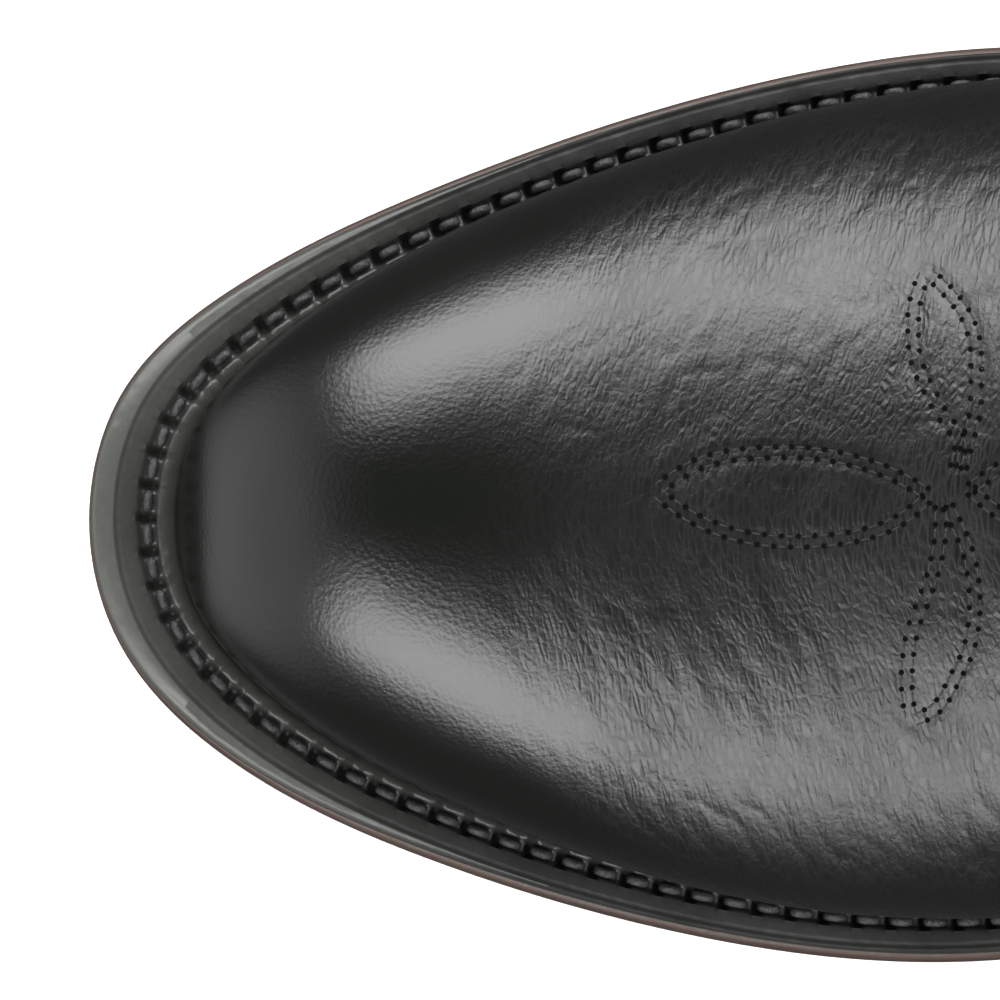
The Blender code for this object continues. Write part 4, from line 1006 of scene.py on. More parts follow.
def strip_faces(rows: int, columns: int) -> list[list[int]]:
    """Faces of a closed strip whose rows of points run along it, with its two ends filled."""
    faces, final = grid_faces(rows, columns).tolist(), (rows - 1) * columns
    faces += [[i + 1, i, final + i, final + i + 1] for i in range(columns - 1)]
    start = [row * columns for row in range(rows)]
    return [*faces, start[::-1], [n + columns - 1 for n in start]]


def facing_out(points: Array, faces: Array, outward: Array) -> Array:
    """The faces, turned over if they face against outward at their vertices."""
    sample = faces[:: max(1, len(faces) // 200)]
    p = points[sample]
    normal = np.cross(p[:, 1] - p[:, 0], p[:, 2] - p[:, 0])
    return faces[:, ::-1] if np.sum(normal * outward[sample[:, 0]]) < 0 else faces


def welded(points: Array, faces: list[list[int]], marks: dict[str, Array]) -> tuple[Array, list, dict]:
    """Points that coincide made one, and points that no face uses left out.

    Args:
        points: The vertices.
        faces: Lists of vertex numbers.
        marks: Values on the vertices, by name.

    Returns:
        The points, faces and values that remain.
    """
    _, first, same = np.unique(np.round(points / 1e-6), axis=0, return_index=True, return_inverse=True)
    number = first[same.reshape(-1)]
    loops = [[n for i, n in enumerate(loop) if n != loop[i - 1]] for loop in
             ([int(number[n]) for n in face] for face in faces)]
    loops = [loop for loop in loops if len(set(loop)) == len(loop) > 2]
    used = np.unique([n for loop in loops for n in loop])
    place = np.zeros(len(points), int)
    place[used] = np.arange(len(used))
    kept = {key: value[used] for key, value in marks.items()}
    return points[used], [place[loop].tolist() for loop in loops], kept


@dataclass
class Panel:
    """A leather panel on the last: a skinned grid with rolled edges and a plain inner side."""

    last: Last
    name: str
    lower: Line
    upper: Line
    depth: float | Callable[[Array, Array], Array]
    thickness: float
    columns: Any
    rows: Any
    finish: Finish
    slot: str
    replaces: tuple[str, ...] = ()
    relief: Height | None = None
    crease: Height | None = None
    stride: int = 4
    edge_steps: tuple[float, ...] = (0.0, 0.14, 0.42, 0.8, 1.3)
    inward: bool = False
    bow: float = 0.0

    def _places(self, given: Any, length: float) -> Array:
        """Places from 0 to 1 that crowd into the rolled edges and are a whole number of strides."""
        inner = np.linspace(0, 1, given + 1) if isinstance(given, int) else np.asarray(given)
        roll = np.array(self.edge_steps) * self.thickness / 2 / length
        inner = inner[(inner > roll[-1] * 1.6) & (inner < 1 - roll[-1] * 1.6)]
        places = np.concatenate([roll, inner, 1 - roll[::-1]])
        extra = -(len(places) - 1) % self.stride
        if extra:
            gaps = np.argsort(np.diff(places))[-extra:]
            places = np.sort(np.concatenate([places, (places[gaps] + places[gaps + 1]) / 2]))
        return places

    def grid(self) -> tuple[Array, Array]:
        """(s, u) of every point of the panel, as two grids of rows by columns."""
        probe = np.linspace(0, 1, 60)
        low = self.last.point(*self.last.between(self.lower(probe), self.upper(probe), 0.5))
        a = self._places(self.columns, lengths(low)[-1])
        side = [self.last.between(self.lower(probe[20:21]), self.upper(probe[20:21]), k) for k in probe]
        rise = lengths(np.array([self.last.point(*spot)[0] for spot in side]))[-1]
        b = self._places(self.rows, rise)
        first, second = self.lower(a), self.upper(a)
        pairs = [self.last.between(first, second, share) for share in b]
        return np.array([p[0] for p in pairs]), np.array([p[1] for p in pairs])

    def build(self) -> bpy.types.Object:
        """Makes the panel.

        Returns:
            The piece.
        """
        s, u = self.grid()
        rows, columns = s.shape
        bare = self.last.point(s, u)
        normal = self.last.normal(s, u)
        arc = np.cumsum(np.concatenate([np.zeros((rows, 1)),
                                        np.linalg.norm(np.diff(bare, axis=1), axis=2)], axis=1), axis=1)
        rise = np.cumsum(np.concatenate([np.zeros((1, columns)),
                                         np.linalg.norm(np.diff(bare, axis=0), axis=2)], axis=0), axis=0)
        near = np.minimum(np.minimum(arc, arc[:, -1:] - arc), np.minimum(rise, rise[-1:] - rise))
        radius = self.thickness / 2
        sunk = radius - np.sqrt(np.clip(radius ** 2 - np.clip(radius - near, 0, None) ** 2, 0, None))
        depth = self.depth(s, u) if callable(self.depth) else self.depth
        raised = self.relief(s, u, bare) if self.relief else 0.0
        worn = self.last.relief(s, bare)
        away = -1.0 if self.inward else 1.0
        face = depth + (self.thickness if self.inward else 0.0)
        outer = bare + normal * (worn - face + away * (raised * (near > 0) - sunk))[..., None]
        k = self.stride
        back = depth + (0.0 if self.inward else self.thickness)
        inner = (bare + normal * (worn - back + away * sunk)[..., None])[::k, ::k]
        points = np.concatenate([outer.reshape(-1, 3), inner.reshape(-1, 3)])
        hidden = rows * columns
        outer_faces = facing_out(points, grid_faces(rows, columns), normal.reshape(-1, 3) * away)
        few_rows, few = inner.shape[:2]
        inner_faces = grid_faces(few_rows, few, hidden)
        flat = np.concatenate([normal.reshape(-1, 3), normal[::k, ::k].reshape(-1, 3)])
        inner_faces = facing_out(points, inner_faces, -flat * away)
        # The two sides meet on the panel's edge: the inner side's edge points are the outer side's.
        number = np.arange(len(points))
        grid_out = np.arange(hidden).reshape(rows, columns)
        grid_in = np.arange(hidden, len(points)).reshape(few_rows, few)
        for line_in, line_out in ((grid_in[0], grid_out[0]), (grid_in[-1], grid_out[-1]),
                                  (grid_in[:, 0], grid_out[:, 0]), (grid_in[:, -1], grid_out[:, -1])):
            number[line_in] = line_out[::k]
        inner_faces = number[inner_faces]
        polygons = self._with_edge(inner_faces, grid_out, k)
        marks = self._marks(s, u, bare, arc, near, hidden, k)
        points, polygons, marks = welded(points, [*outer_faces.tolist(), *polygons], marks)
        return new_piece(self.name, points, polygons, self.finish, "boot", self.slot, marks, self.replaces)

    @staticmethod
    def _with_edge(inner: Array, grid: Array, k: int) -> list[list[int]]:
        """The inner side's faces, each taking in the outer side's edge points between its corners."""
        nexts: dict[tuple[int, int], list[int]] = {}
        for line in (grid[0], grid[-1], grid[:, 0], grid[:, -1]):
            for i in range(0, len(line) - 1, k):
                run = [int(n) for n in line[i:i + k + 1]]
                nexts[run[0], run[-1]], nexts[run[-1], run[0]] = run[1:-1], run[-2:0:-1]
        made = []
        for face in inner.tolist():
            loop = []
            for i, corner in enumerate(face):
                loop.append(corner)
                loop += nexts.get((corner, face[(i + 1) % len(face)]), [])
            made.append(loop)
        return made

    def _marks(self, s: Array, u: Array, bare: Array, arc: Array, near: Array, hidden: int,
               k: int) -> dict[str, Array]:
        """The values that the finish reads: worn edges, break lines and the direction of the rungs."""
        crease = self.crease(s, u, bare) if self.crease else np.zeros(s.shape)
        middle = arc - arc[:, arc.shape[1] // 2][:, None]
        bow = self.bow * (np.hypot(middle, 0.008) - 0.008)
        flow = np.stack([middle, s - bow, 0 * s], axis=-1)
        wear = 0.8 * np.exp(-near / 0.0011)
        found = {"crease": crease, "flow": flow, "wear": wear}
        marks = {}
        for key, value in found.items():
            size = value.size // hidden
            sides = [value.reshape(-1, size), value[::k, ::k].reshape(-1, size)]
            marks[key] = np.concatenate(sides).squeeze()
        return marks


# ------------------------------------------------------------------ stitching
@dataclass(frozen=True)
class Stitch:
    """One kind of stitch: how far apart, how long and how thick, and the needle's holes."""

    pitch: float = 0.0020
    length: float = 0.0014
    radius: float = 0.00021
    rise: float = 0.00006
    hole: float = 0.00030
    groove: float = 0.00022
    groove_width: float = 0.00055
    sides: int = 6

    def thread_mesh(self) -> tuple[Array, Array]:
        """One stitch along x, domed along z, as points and quads."""
        places = np.array([-0.5, -0.40, -0.20, 0.0, 0.20, 0.40, 0.5])
        fat = np.array([0.45, 0.85, 1.0, 1.03, 1.0, 0.85, 0.45])
        drop = np.array([-1.6, -0.55, -0.08, 0.0, -0.08, -0.55, -1.6]) * self.radius
        turn = np.linspace(0, 2 * math.pi, self.sides, endpoint=False)
        rings = [[(x * self.length, f * self.radius * math.cos(t), z + f * self.radius * math.sin(t))
                  for t in turn] for x, f, z in zip(places, fat, drop)]
        return np.array(rings).reshape(-1, 3), grid_faces(len(places), self.sides, 0, True)

    def hole_shade_mesh(self) -> tuple[Array, Array]:
        """One needle hole round z, as points and triangles: a shallow dish coloured near black as painted
        shade in the hole.
        """
        turn = np.linspace(0, 2 * math.pi, 8, endpoint=False)
        rim = [(self.hole * math.cos(t), self.hole * math.sin(t), 0.0) for t in turn]
        points = np.array([*rim, (0.0, 0.0, -0.3 * self.hole)])
        return points, np.array([(i, (i + 1) % 8, 8) for i in range(8)])


@dataclass
class Seam:
    """Stitches along lines that lie on a surface."""

    name: str
    stitch: Stitch
    finish: Finish = Finish.THREAD
    slot: str = "thread"
    lines: list[tuple[Array, Array]] = field(default_factory=list)

    def add(self, points: Array, normals: Array) -> None:
        """Adds a line of points with the surface's normals there."""
        self.lines.append((points, normals))

    def tree(self) -> KDTree:
        """All points of the lines, to find how near something is to them."""
        points = np.concatenate([resample(line, 0.0004) for line, _ in self.lines])
        found = KDTree(len(points))
        for i, point in enumerate(points):
            found.insert(point, i)
        found.balance()
        return found

    def groove(self, points: Array) -> Array:
        """How far the thread pulls the leather in at points."""
        tree = self.tree()
        flat = points.reshape(-1, 3)
        far = np.array([tree.find(p)[2] for p in flat]).reshape(points.shape[:-1])
        return -self.stitch.groove * np.exp(-((far / self.stitch.groove_width) ** 2))

    def _frames(self, surface: BVHTree | None, half_step: bool) -> Iterable[tuple[Array, Array, Array]]:
        """(middle, direction, normal) of each stitch, or of each hole between them."""
        for points, normals in self.lines:
            along = lengths(points)
            count = max(2, int(round(along[-1] / self.stitch.pitch)))
            places = (np.arange(count) + (0.0 if half_step else 0.5)) * along[-1] / count
            spots, up = sampled(places, along, points), sampled(places, along, normals)
            ahead, behind = (sampled(places + step, along, points) for step in (0.0004, -0.0004))
            for spot, direction, normal in zip(spots, ahead - behind, up):
                normal = normal / np.linalg.norm(normal)
                if surface is not None:
                    hit = surface.ray_cast(Vector(spot + normal * 0.004), Vector(-normal), 0.009)[0]
                    if hit is None:
                        continue
                    spot = np.array(hit)
                direction = direction - normal * direction.dot(normal)
                yield spot, direction / max(np.linalg.norm(direction), 1e-9), normal

    def _copies(self, shape: tuple[Array, Array], surface: BVHTree | None, lift: float,
                holes: bool) -> tuple[Array, Array]:
        """The shape at every stitch or hole, as one mesh."""
        points, faces = shape
        made, groups = [], []
        for i, (spot, along, up) in enumerate(self._frames(surface, holes)):
            side = np.cross(up, along)
            made.append(spot + up * lift + points @ np.stack([along, side, up]))
            groups.append(faces + i * len(points))
        return np.concatenate(made), np.concatenate(groups)

    def sew(self, surface: bpy.types.Object | None, body: str = "boot",
            replaces: Sequence[str] = ()) -> None:
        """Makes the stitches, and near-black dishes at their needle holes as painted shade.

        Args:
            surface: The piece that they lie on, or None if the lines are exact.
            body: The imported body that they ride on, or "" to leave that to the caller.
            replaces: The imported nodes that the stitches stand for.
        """
        tree = None
        if surface is not None:
            tree = BVHTree.FromObject(surface, bpy.context.evaluated_depsgraph_get())
        shape = self._copies(self.stitch.thread_mesh(), tree, self.stitch.rise, False)
        new_piece(self.name, *shape, self.finish, body, self.slot, None, replaces)
        if self.stitch.hole:
            # Dark dishes at the holes: painted shade inside them.
            shape = self._copies(self.stitch.hole_shade_mesh(), tree, 0.00010, True)
            new_piece(f"{self.name}_holes", *shape, Finish.HOLE_SHADE, body, self.slot)


FINE = Stitch(length=0.0013, radius=0.00015, rise=-0.00002, hole=0.00034, groove=0.00012)
EDGE = Stitch(pitch=0.0024, length=0.0019, radius=0.00024, hole=0.00026)
SHAFT_ROW = Stitch(pitch=0.0027, length=0.0022, radius=0.00026, hole=0.00026, groove=0.00032,
                   groove_width=0.0009, sides=5)


# ------------------------------------------------------------------ the sole
@dataclass
class SoleUnit:
    """Outsole, welt, rand, heel and the stitches that hold the welt."""

    last: Last
    welt_height: float = 0.0030
    pitch: float = 0.0041
    hole_half: float = 0.00074
    hole_depth: float = 0.0012
    stations: tuple[float, ...] = (0.0, 0.12, 0.36, 0.60, 1.0)
    rim: tuple[float, ...] = (0.00035, 0.00070, 0.00085, 0.0008, 0.0008)
    bevel: tuple[float, ...] = (0.0031, 0.0017, 0.0014, 0.0013, 0.0013)
    channel_in: tuple[float, ...] = (0.0059, 0.0042, 0.0037, 0.0029, 0.0025)
    channel_out: tuple[float, ...] = (0.0084, 0.0063, 0.0056, 0.0044, 0.0036)
    lift_count: int = 5
    cap: float = 0.0065
    taper: float = 0.11
    slope: float = 0.010
    proud: float = 0.0003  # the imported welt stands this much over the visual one
    channel: float = 0.00075
    bed: float = 0.00042
    welt_past_breast: float = 0.004
    rand_past_breast: float = 0.0037
    rand_rim: float = 0.0007
    knurl: float = 0.00006
    knurl_pitch: float = 0.0011
    lift_gap: float = 0.03

    def __post_init__(self) -> None:
        """Turns the widths into functions of the share of the sole's length."""
        last = self.last
        self.widths = {name: cubic(self.stations, values) for name, values in
                       (("rim", self.rim), ("bevel", self.bevel), ("in", self.channel_in),
                        ("out", self.channel_out))}
        self.noise = Noise(5)

    def _stop(self, side: int, y: float) -> float:
        """Distance along the outline from the toe's tip to where it reaches y."""
        line = self.last.outlines[side]
        return float(np.interp(y, line[:, 1], lengths(line)))

    def _edge(self, step: float, y_end: float | None = None) -> tuple[Array, Array, Array]:
        """Points, inward directions and distances along the edge, from the inner end over the toe."""
        spots, inwards, places = [], [], []
        for side, _ in SIDES:
            line = self.last.outlines[side]
            along = lengths(line)
            reach = along[-1] if y_end is None else self._stop(side, y_end)
            at = np.linspace(0, reach, int(reach / step))
            spot, into = sampled(at, along, line), sampled(at, along, self.last.inward(side))
            order = slice(None, None, -1) if side == MEDIAL else slice(1, None)
            spots.append(spot[order])
            inwards.append(into[order])
            places.append(at[order] * -side)
        return np.concatenate(spots), np.concatenate(inwards), np.concatenate(places)

    def build(self) -> None:
        """Makes every piece of the sole."""
        self._outsole()
        self._welt()
        self._rand()
        self._heel()

    def _outsole(self) -> None:
        """The outsole: a burnished tread, and an inked edge with fine wheel lines."""
        last, t = self.last, self.last.outsole
        profile = [(0.0060, 0.0, 1.0), (0.0024, 0.0, 1.0), (0.0013, 0.0, 0.95), (0.0006, 0.00012, 0.7),
                   (0.00015, 0.0005, 0.35), (0.0, 0.0010, 0.10), (0.00012, 0.0013, 0.0),
                   (0.0, 0.0016, 0.05), (-0.00003, 0.0023, 0.0), (0.0001, 0.0026, 0.0),
                   (-0.00003, 0.0029, 0.1), (0.0, 0.0037, 0.15), (0.00016, 0.0043, 0.20),
                   (0.0005, t - 0.00022, 0.28), (0.0010, t, 0.22), (0.0030, t, 0.1), (0.0060, t, 0.1)]
        loops = []
        for side, _ in SIDES:
            line = last.outlines[side][::2]
            inward = leftward(line) * side
            loops.append((line, inward) if side == MEDIAL else (line[::-1], inward[::-1]))
        spot = np.concatenate([loops[0][0], loops[1][0][1:-1]])
        into = np.concatenate([loops[0][1], loops[1][1][1:-1]])
        rings, bare = [], []
        for inset, up, shown in profile:
            xy = spot + into * inset
            z = last.sole_under(xy[:, 1]) + up
            rings.append(np.column_stack([xy, z]))
            bare.append(np.full(len(xy), shown))
        count = len(spot)
        faces = grid_faces(len(rings), count, 0, True).tolist()
        half = len(loops[0][0])
        for ring, flip in ((0, True), (len(rings) - 1, False)):
            base = ring * count
            for i in range(half - 1):
                near, far = base + (count - i) % count, base + (count - i - 1) % count
                quad = [base + i, base + i + 1, far, near]
                quad = [n for k, n in enumerate(quad) if n not in quad[:k]]
                faces.append(quad[::-1] if flip else quad)
        points = np.concatenate(rings)
        marks = {"bare": np.concatenate(bare), "wear": 0.3 * np.concatenate(bare)}
        made = new_piece("outsole_leather", points, faces, Finish.SOLE, "boot", "sole_leather", marks,
                         ("outsole",))
        turn_out(made)

    def _welt_section(self, share: Array) -> list[tuple[Array, Array, float]]:
        """The welt's profile at shares of the length: (distance in, height, bareness) from the foot out."""
        rim, bevel, start, stop = (self.widths[k](share) for k in ("rim", "bevel", "in", "out"))
        margin = self.last.margin(share)
        top, one = self.welt_height - self.proud, np.ones_like(share)
        low = top - self.channel
        slope = 0.00055 * one
        return [
            (margin + 0.0006, 0.0 * one, 0.0), (rim + 0.0008, 0.0 * one, 0.0),
            (rim + 0.00005, 0.00005 * one, 0.3), (rim, 0.00035 * one, 0.35), (rim, 0.0009 * one, 0.25),
            (rim + 0.00010, 0.00135 * one, 0.0), (rim + 0.0003, top - slope - 0.00035, 0.0),
            (rim + 0.00055, top - slope - 0.00012, 0.05), (rim + 0.0009, top - slope, 0.0),
            ((rim + bevel) / 2, top - slope * 0.45, 0.0), (bevel - 0.0002, top - 0.00006, 0.0),
            (bevel, top, 0.0), (bevel + 0.00022, top - 0.00011, 0.0),
            (bevel + 0.00044, top - 0.00013, 0.0), (bevel + 0.0007, top - 0.00002, 0.0),
            (bevel + 0.0009, top, 0.0), ((bevel + start) / 2 + 0.0004, top + 0.00002, 0.0),
            (start - 0.0002, top, 0.05), (start + 0.00005, top - 0.00012, 0.0),
            (start + 0.0003, low + 0.00012, 0.0), (start + 0.0005, low, 0.0),
            (start * 0.66 + stop * 0.34, low, 0.0), ((start + stop) / 2, low, 0.0),
            (start * 0.34 + stop * 0.66, low, 0.0), (stop - 0.0005, low, 0.0),
            (stop - 0.0002, low + 0.0002, 0.0), (stop, top - 0.0001, 0.0),
            (stop + 0.0003, top + 0.00004, 0.05), ((stop + margin) / 2, top, 0.0),
            (margin - 0.0003, top - 0.0003, 0.0), (margin + 0.0006, top - 0.0010, 0.0)]

    def _welt(self) -> None:
        """The welt with its channel, awl holes, wheel line and lock stitches."""
        last = self.last
        spot, into, place = self._edge(0.00028, last.breast_y - self.welt_past_breast)
        share = last.share(spot[:, 1])
        section = self._welt_section(share)
        middle = (self.widths["in"](share) + self.widths["out"](share)) / 2
        stitched = spot + into * middle[:, None]
        run = lengths(stitched)
        run -= np.interp(0.0, place, run)
        phase = (run / self.pitch + 0.5) % 1.0 - 0.5
        in_hole = smooth(1.25 - np.abs(phase * self.pitch) / self.hole_half * 0.9)
        rings, bare = [], []
        for k, (distance, up, shown) in enumerate(section):
            xy = spot + into * distance[:, None]
            across_hole = np.clip(1 - np.abs(distance - middle) / 0.00125, 0, 1) ** 0.35
            dent = in_hole * across_hole * self.hole_depth if 18 <= k <= 27 else 0.0
            rough = 0.00013 if k > 26 else 0.00004
            grain = rough * self.noise.at(np.column_stack([xy, 3 * up * np.ones(len(xy))]), 0.0012)
            z = last.sole_top(xy[:, 1]) + up + (grain if 4 < k < 30 else 0.0) - dent
            rings.append(np.column_stack([xy, z]))
            patches = self.noise.at(np.column_stack([xy, z]), 0.006)
            bare.append(np.full(len(xy), shown) + 0.25 * shown * patches)
        points = np.concatenate(rings)
        faces = strip_faces(len(rings), len(spot))
        # Wear and painted reflection: the welt's outer band grows lighter toward the toe, partly from rubbing
        # and partly as a painted reflection of the wall ahead of the toe.
        toe = 1 - smooth((share - 0.03) / 0.16)
        wear_and_painted_reflection = [0.0 * share if k < 5 or k == len(section) - 1 else
                   (0.10 + 0.62 * toe if k < 11 else 0.05 + 0.24 * toe) for k in range(len(section))]
        marks = {"bare": np.clip(np.concatenate(bare), 0, 1), "wear": np.concatenate(wear_and_painted_reflection)}
        made = new_piece("welt_strip", points, faces, Finish.WELT, "boot", "welt_leather", marks, ("welt",))
        turn_out(made)
        height = self.welt_height - self.proud - self.channel + self.bed
        inside = np.abs(run) < min(abs(run[0]), abs(run[-1])) - 0.004
        line = np.column_stack([stitched, last.sole_top(stitched[:, 1]) + height])
        count = int(np.abs(run[inside]).max() / self.pitch)
        ends = [np.interp(sign * count * self.pitch, run, np.arange(len(run))) for sign in (-1, 1)]
        keep = slice(int(round(ends[0])), int(round(ends[1])) + 1)
        stitch = Stitch(self.pitch, self.pitch * 0.70, 0.00062, 0.0, 0.0, sides=10)
        seam = Seam("welt_stitches", stitch, Finish.WELT_THREAD)
        seam.add(line[keep], np.tile((0.0, 0.0, 1.0), (len(line[keep]), 1)))
        seam.sew(None, "boot", ("welt_thread",))

    def _rand(self) -> None:
        """The rand round the seat of the heel, knurled by the wheel."""
        last = self.last
        spots, intos = [], []
        for side, _ in SIDES:
            line = last.outlines[side]
            along = lengths(line)
            at = np.linspace(self._stop(side, last.breast_y - self.rand_past_breast), along[-1], 260)
            spot, into = sampled(at, along, line), sampled(at, along, last.inward(side))
            order = slice(None) if side == MEDIAL else slice(-2, None, -1)
            spots.append(spot[order])
            intos.append(into[order])
        spot, into = np.concatenate(spots), np.concatenate(intos)
        margin = last.margin(last.share(spot[:, 1]))
        run = lengths(spot)
        knurl = self.knurl * np.cos(2 * math.pi * run / self.knurl_pitch)
        top, rim = self.welt_height - self.proud, self.rand_rim + 0 * margin
        section = [(margin + 0.0006, 0.0), (rim + 0.0006, 0.0), (rim, 0.0002), (rim - 0.0001, 0.0010),
                   (rim + 0.0002, top - 0.0006), (rim + 0.0007, top - 0.00015), (rim + 0.0013, top),
                   (margin - 0.0006, top - 0.0001), (margin + 0.0006, top - 0.0009)]
        rings = []
        for k, (distance, up) in enumerate(section):
            xy = spot + into * (distance + (knurl if 2 < k < 6 else 0))[:, None]
            rings.append(np.column_stack([xy, last.sole_top(xy[:, 1]) + up]))
        faces, zeros = strip_faces(len(section), len(spot)), np.zeros(len(spot) * len(section))
        made = new_piece("seat_rand", np.concatenate(rings), faces, Finish.RAND, "boot", "welt_leather",
                         {"bare": zeros, "wear": zeros + 0.1}, ("heel_rand",))
        turn_out(made)

    # ---- the heel
    def _heel_loop(self) -> Array:
        """The heel's outline at the seat, closed, with softened breast corners."""
        last = self.last
        parts = []
        for side in (LATERAL, MEDIAL):
            line = last.outlines[side]
            along = lengths(line)
            at = np.linspace(self._stop(side, last.breast_y), along[-1], 110)
            spot = sampled(at, along, line)
            parts.append(spot if side == LATERAL else spot[::-1][1:])
        loop = np.concatenate(parts)
        first, final = loop[-1], loop[0]
        share = np.linspace(0, 1, 40)[1:-1, None]
        breast = first + (final - first) * share
        breast[:, 1] += 0.0022 * np.sin(math.pi * share[:, 0])
        loop = np.concatenate([loop, breast])
        for _ in range(2):
            loop = 0.5 * loop + 0.25 * (np.roll(loop, 1, axis=0) + np.roll(loop, -1, axis=0))
        return loop

    def _heel_point(self, loop: Array, level: float, inset: float) -> Array:
        """The heel's outline at a level from 0 (top of the cap) to 1 (under the sole), below 0 in the cap."""
        last = self.last
        y = loop[:, 1]
        full = last.sole_under(y) - 0.0003 - self.cap
        z = self.cap + level * full if level >= 0 else self.cap * (1 + level)
        drop = 1 - z / last.heel_height
        reach = (y - last.breast_y) / (last.heel_back - last.breast_y)
        xy = np.column_stack([loop[:, 0] * (1 - self.taper * drop), y - self.slope * drop * reach])
        tangent = np.roll(xy, -1, axis=0) - np.roll(xy, 1, axis=0)
        into = np.stack([-tangent[:, 1], tangent[:, 0]], axis=1)
        into /= np.linalg.norm(into, axis=1)[:, None]
        middle = xy.mean(axis=0)
        into *= np.sign(np.sum(into * (middle - xy), axis=1).mean())
        return np.column_stack([xy + into * inset, z * np.ones(len(xy))])

    def _heel(self) -> None:
        """The stacked lifts, each with worn edges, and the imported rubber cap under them."""
        loop = self._heel_loop()
        gap = self.lift_gap
        for i in range(self.lift_count):
            low, high = (i + gap) / self.lift_count, (i + 1 - gap) / self.lift_count
            shape = [(low, 0.006), (low, 0.0008), (low, 0.00035), (low + 0.10 * (high - low), 0.00010),
                     (low + 0.3 * (high - low), 0.0), (low + 0.7 * (high - low), 0.0),
                     (low + 0.90 * (high - low), 0.00010), (high, 0.00035), (high, 0.0008), (high, 0.006)]
            rings = [self._heel_point(loop, level, inset) for level, inset in shape]
            count = len(loop)
            faces = tube_faces(len(rings), count)
            bare = np.repeat([0, 0, 0.25, 0.08, 0, 0, 0.08, 0.25, 0, 0], count).astype(float)
            made = new_piece(f"heel_layer_{i + 1}", np.concatenate(rings), faces, Finish.LIFT, "boot",
                             "heel_leather", {"bare": bare, "wear": bare}, (f"heel_lift_{i + 1}",))
            turn_out(made)
        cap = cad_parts["heel_cap"]
        soften = cap.modifiers.new("soft_edges", "BEVEL")
        soften.width, soften.segments, soften.limit_method = 0.0005, 2, "ANGLE"
        soften.angle_limit = math.radians(50)


def turn_out(made: bpy.types.Object) -> None:
    """Turns a closed piece's faces outwards.

    Args:
        made: The piece.
    """
    mesh = made.data
    points = np.zeros(len(mesh.vertices) * 3, np.float32)
    mesh.vertices.foreach_get("co", points)
    points = points.reshape(-1, 3).astype(float)
    mesh.calc_loop_triangles()
    triangles = np.zeros(len(mesh.loop_triangles) * 3, np.int32)
    mesh.loop_triangles.foreach_get("vertices", triangles)
    corners = points[triangles.reshape(-1, 3)] - points.mean(axis=0)
    if np.einsum("ij,ij->i", corners[:, 0], np.cross(corners[:, 1], corners[:, 2])).sum() < 0:
        mesh.flip_normals()


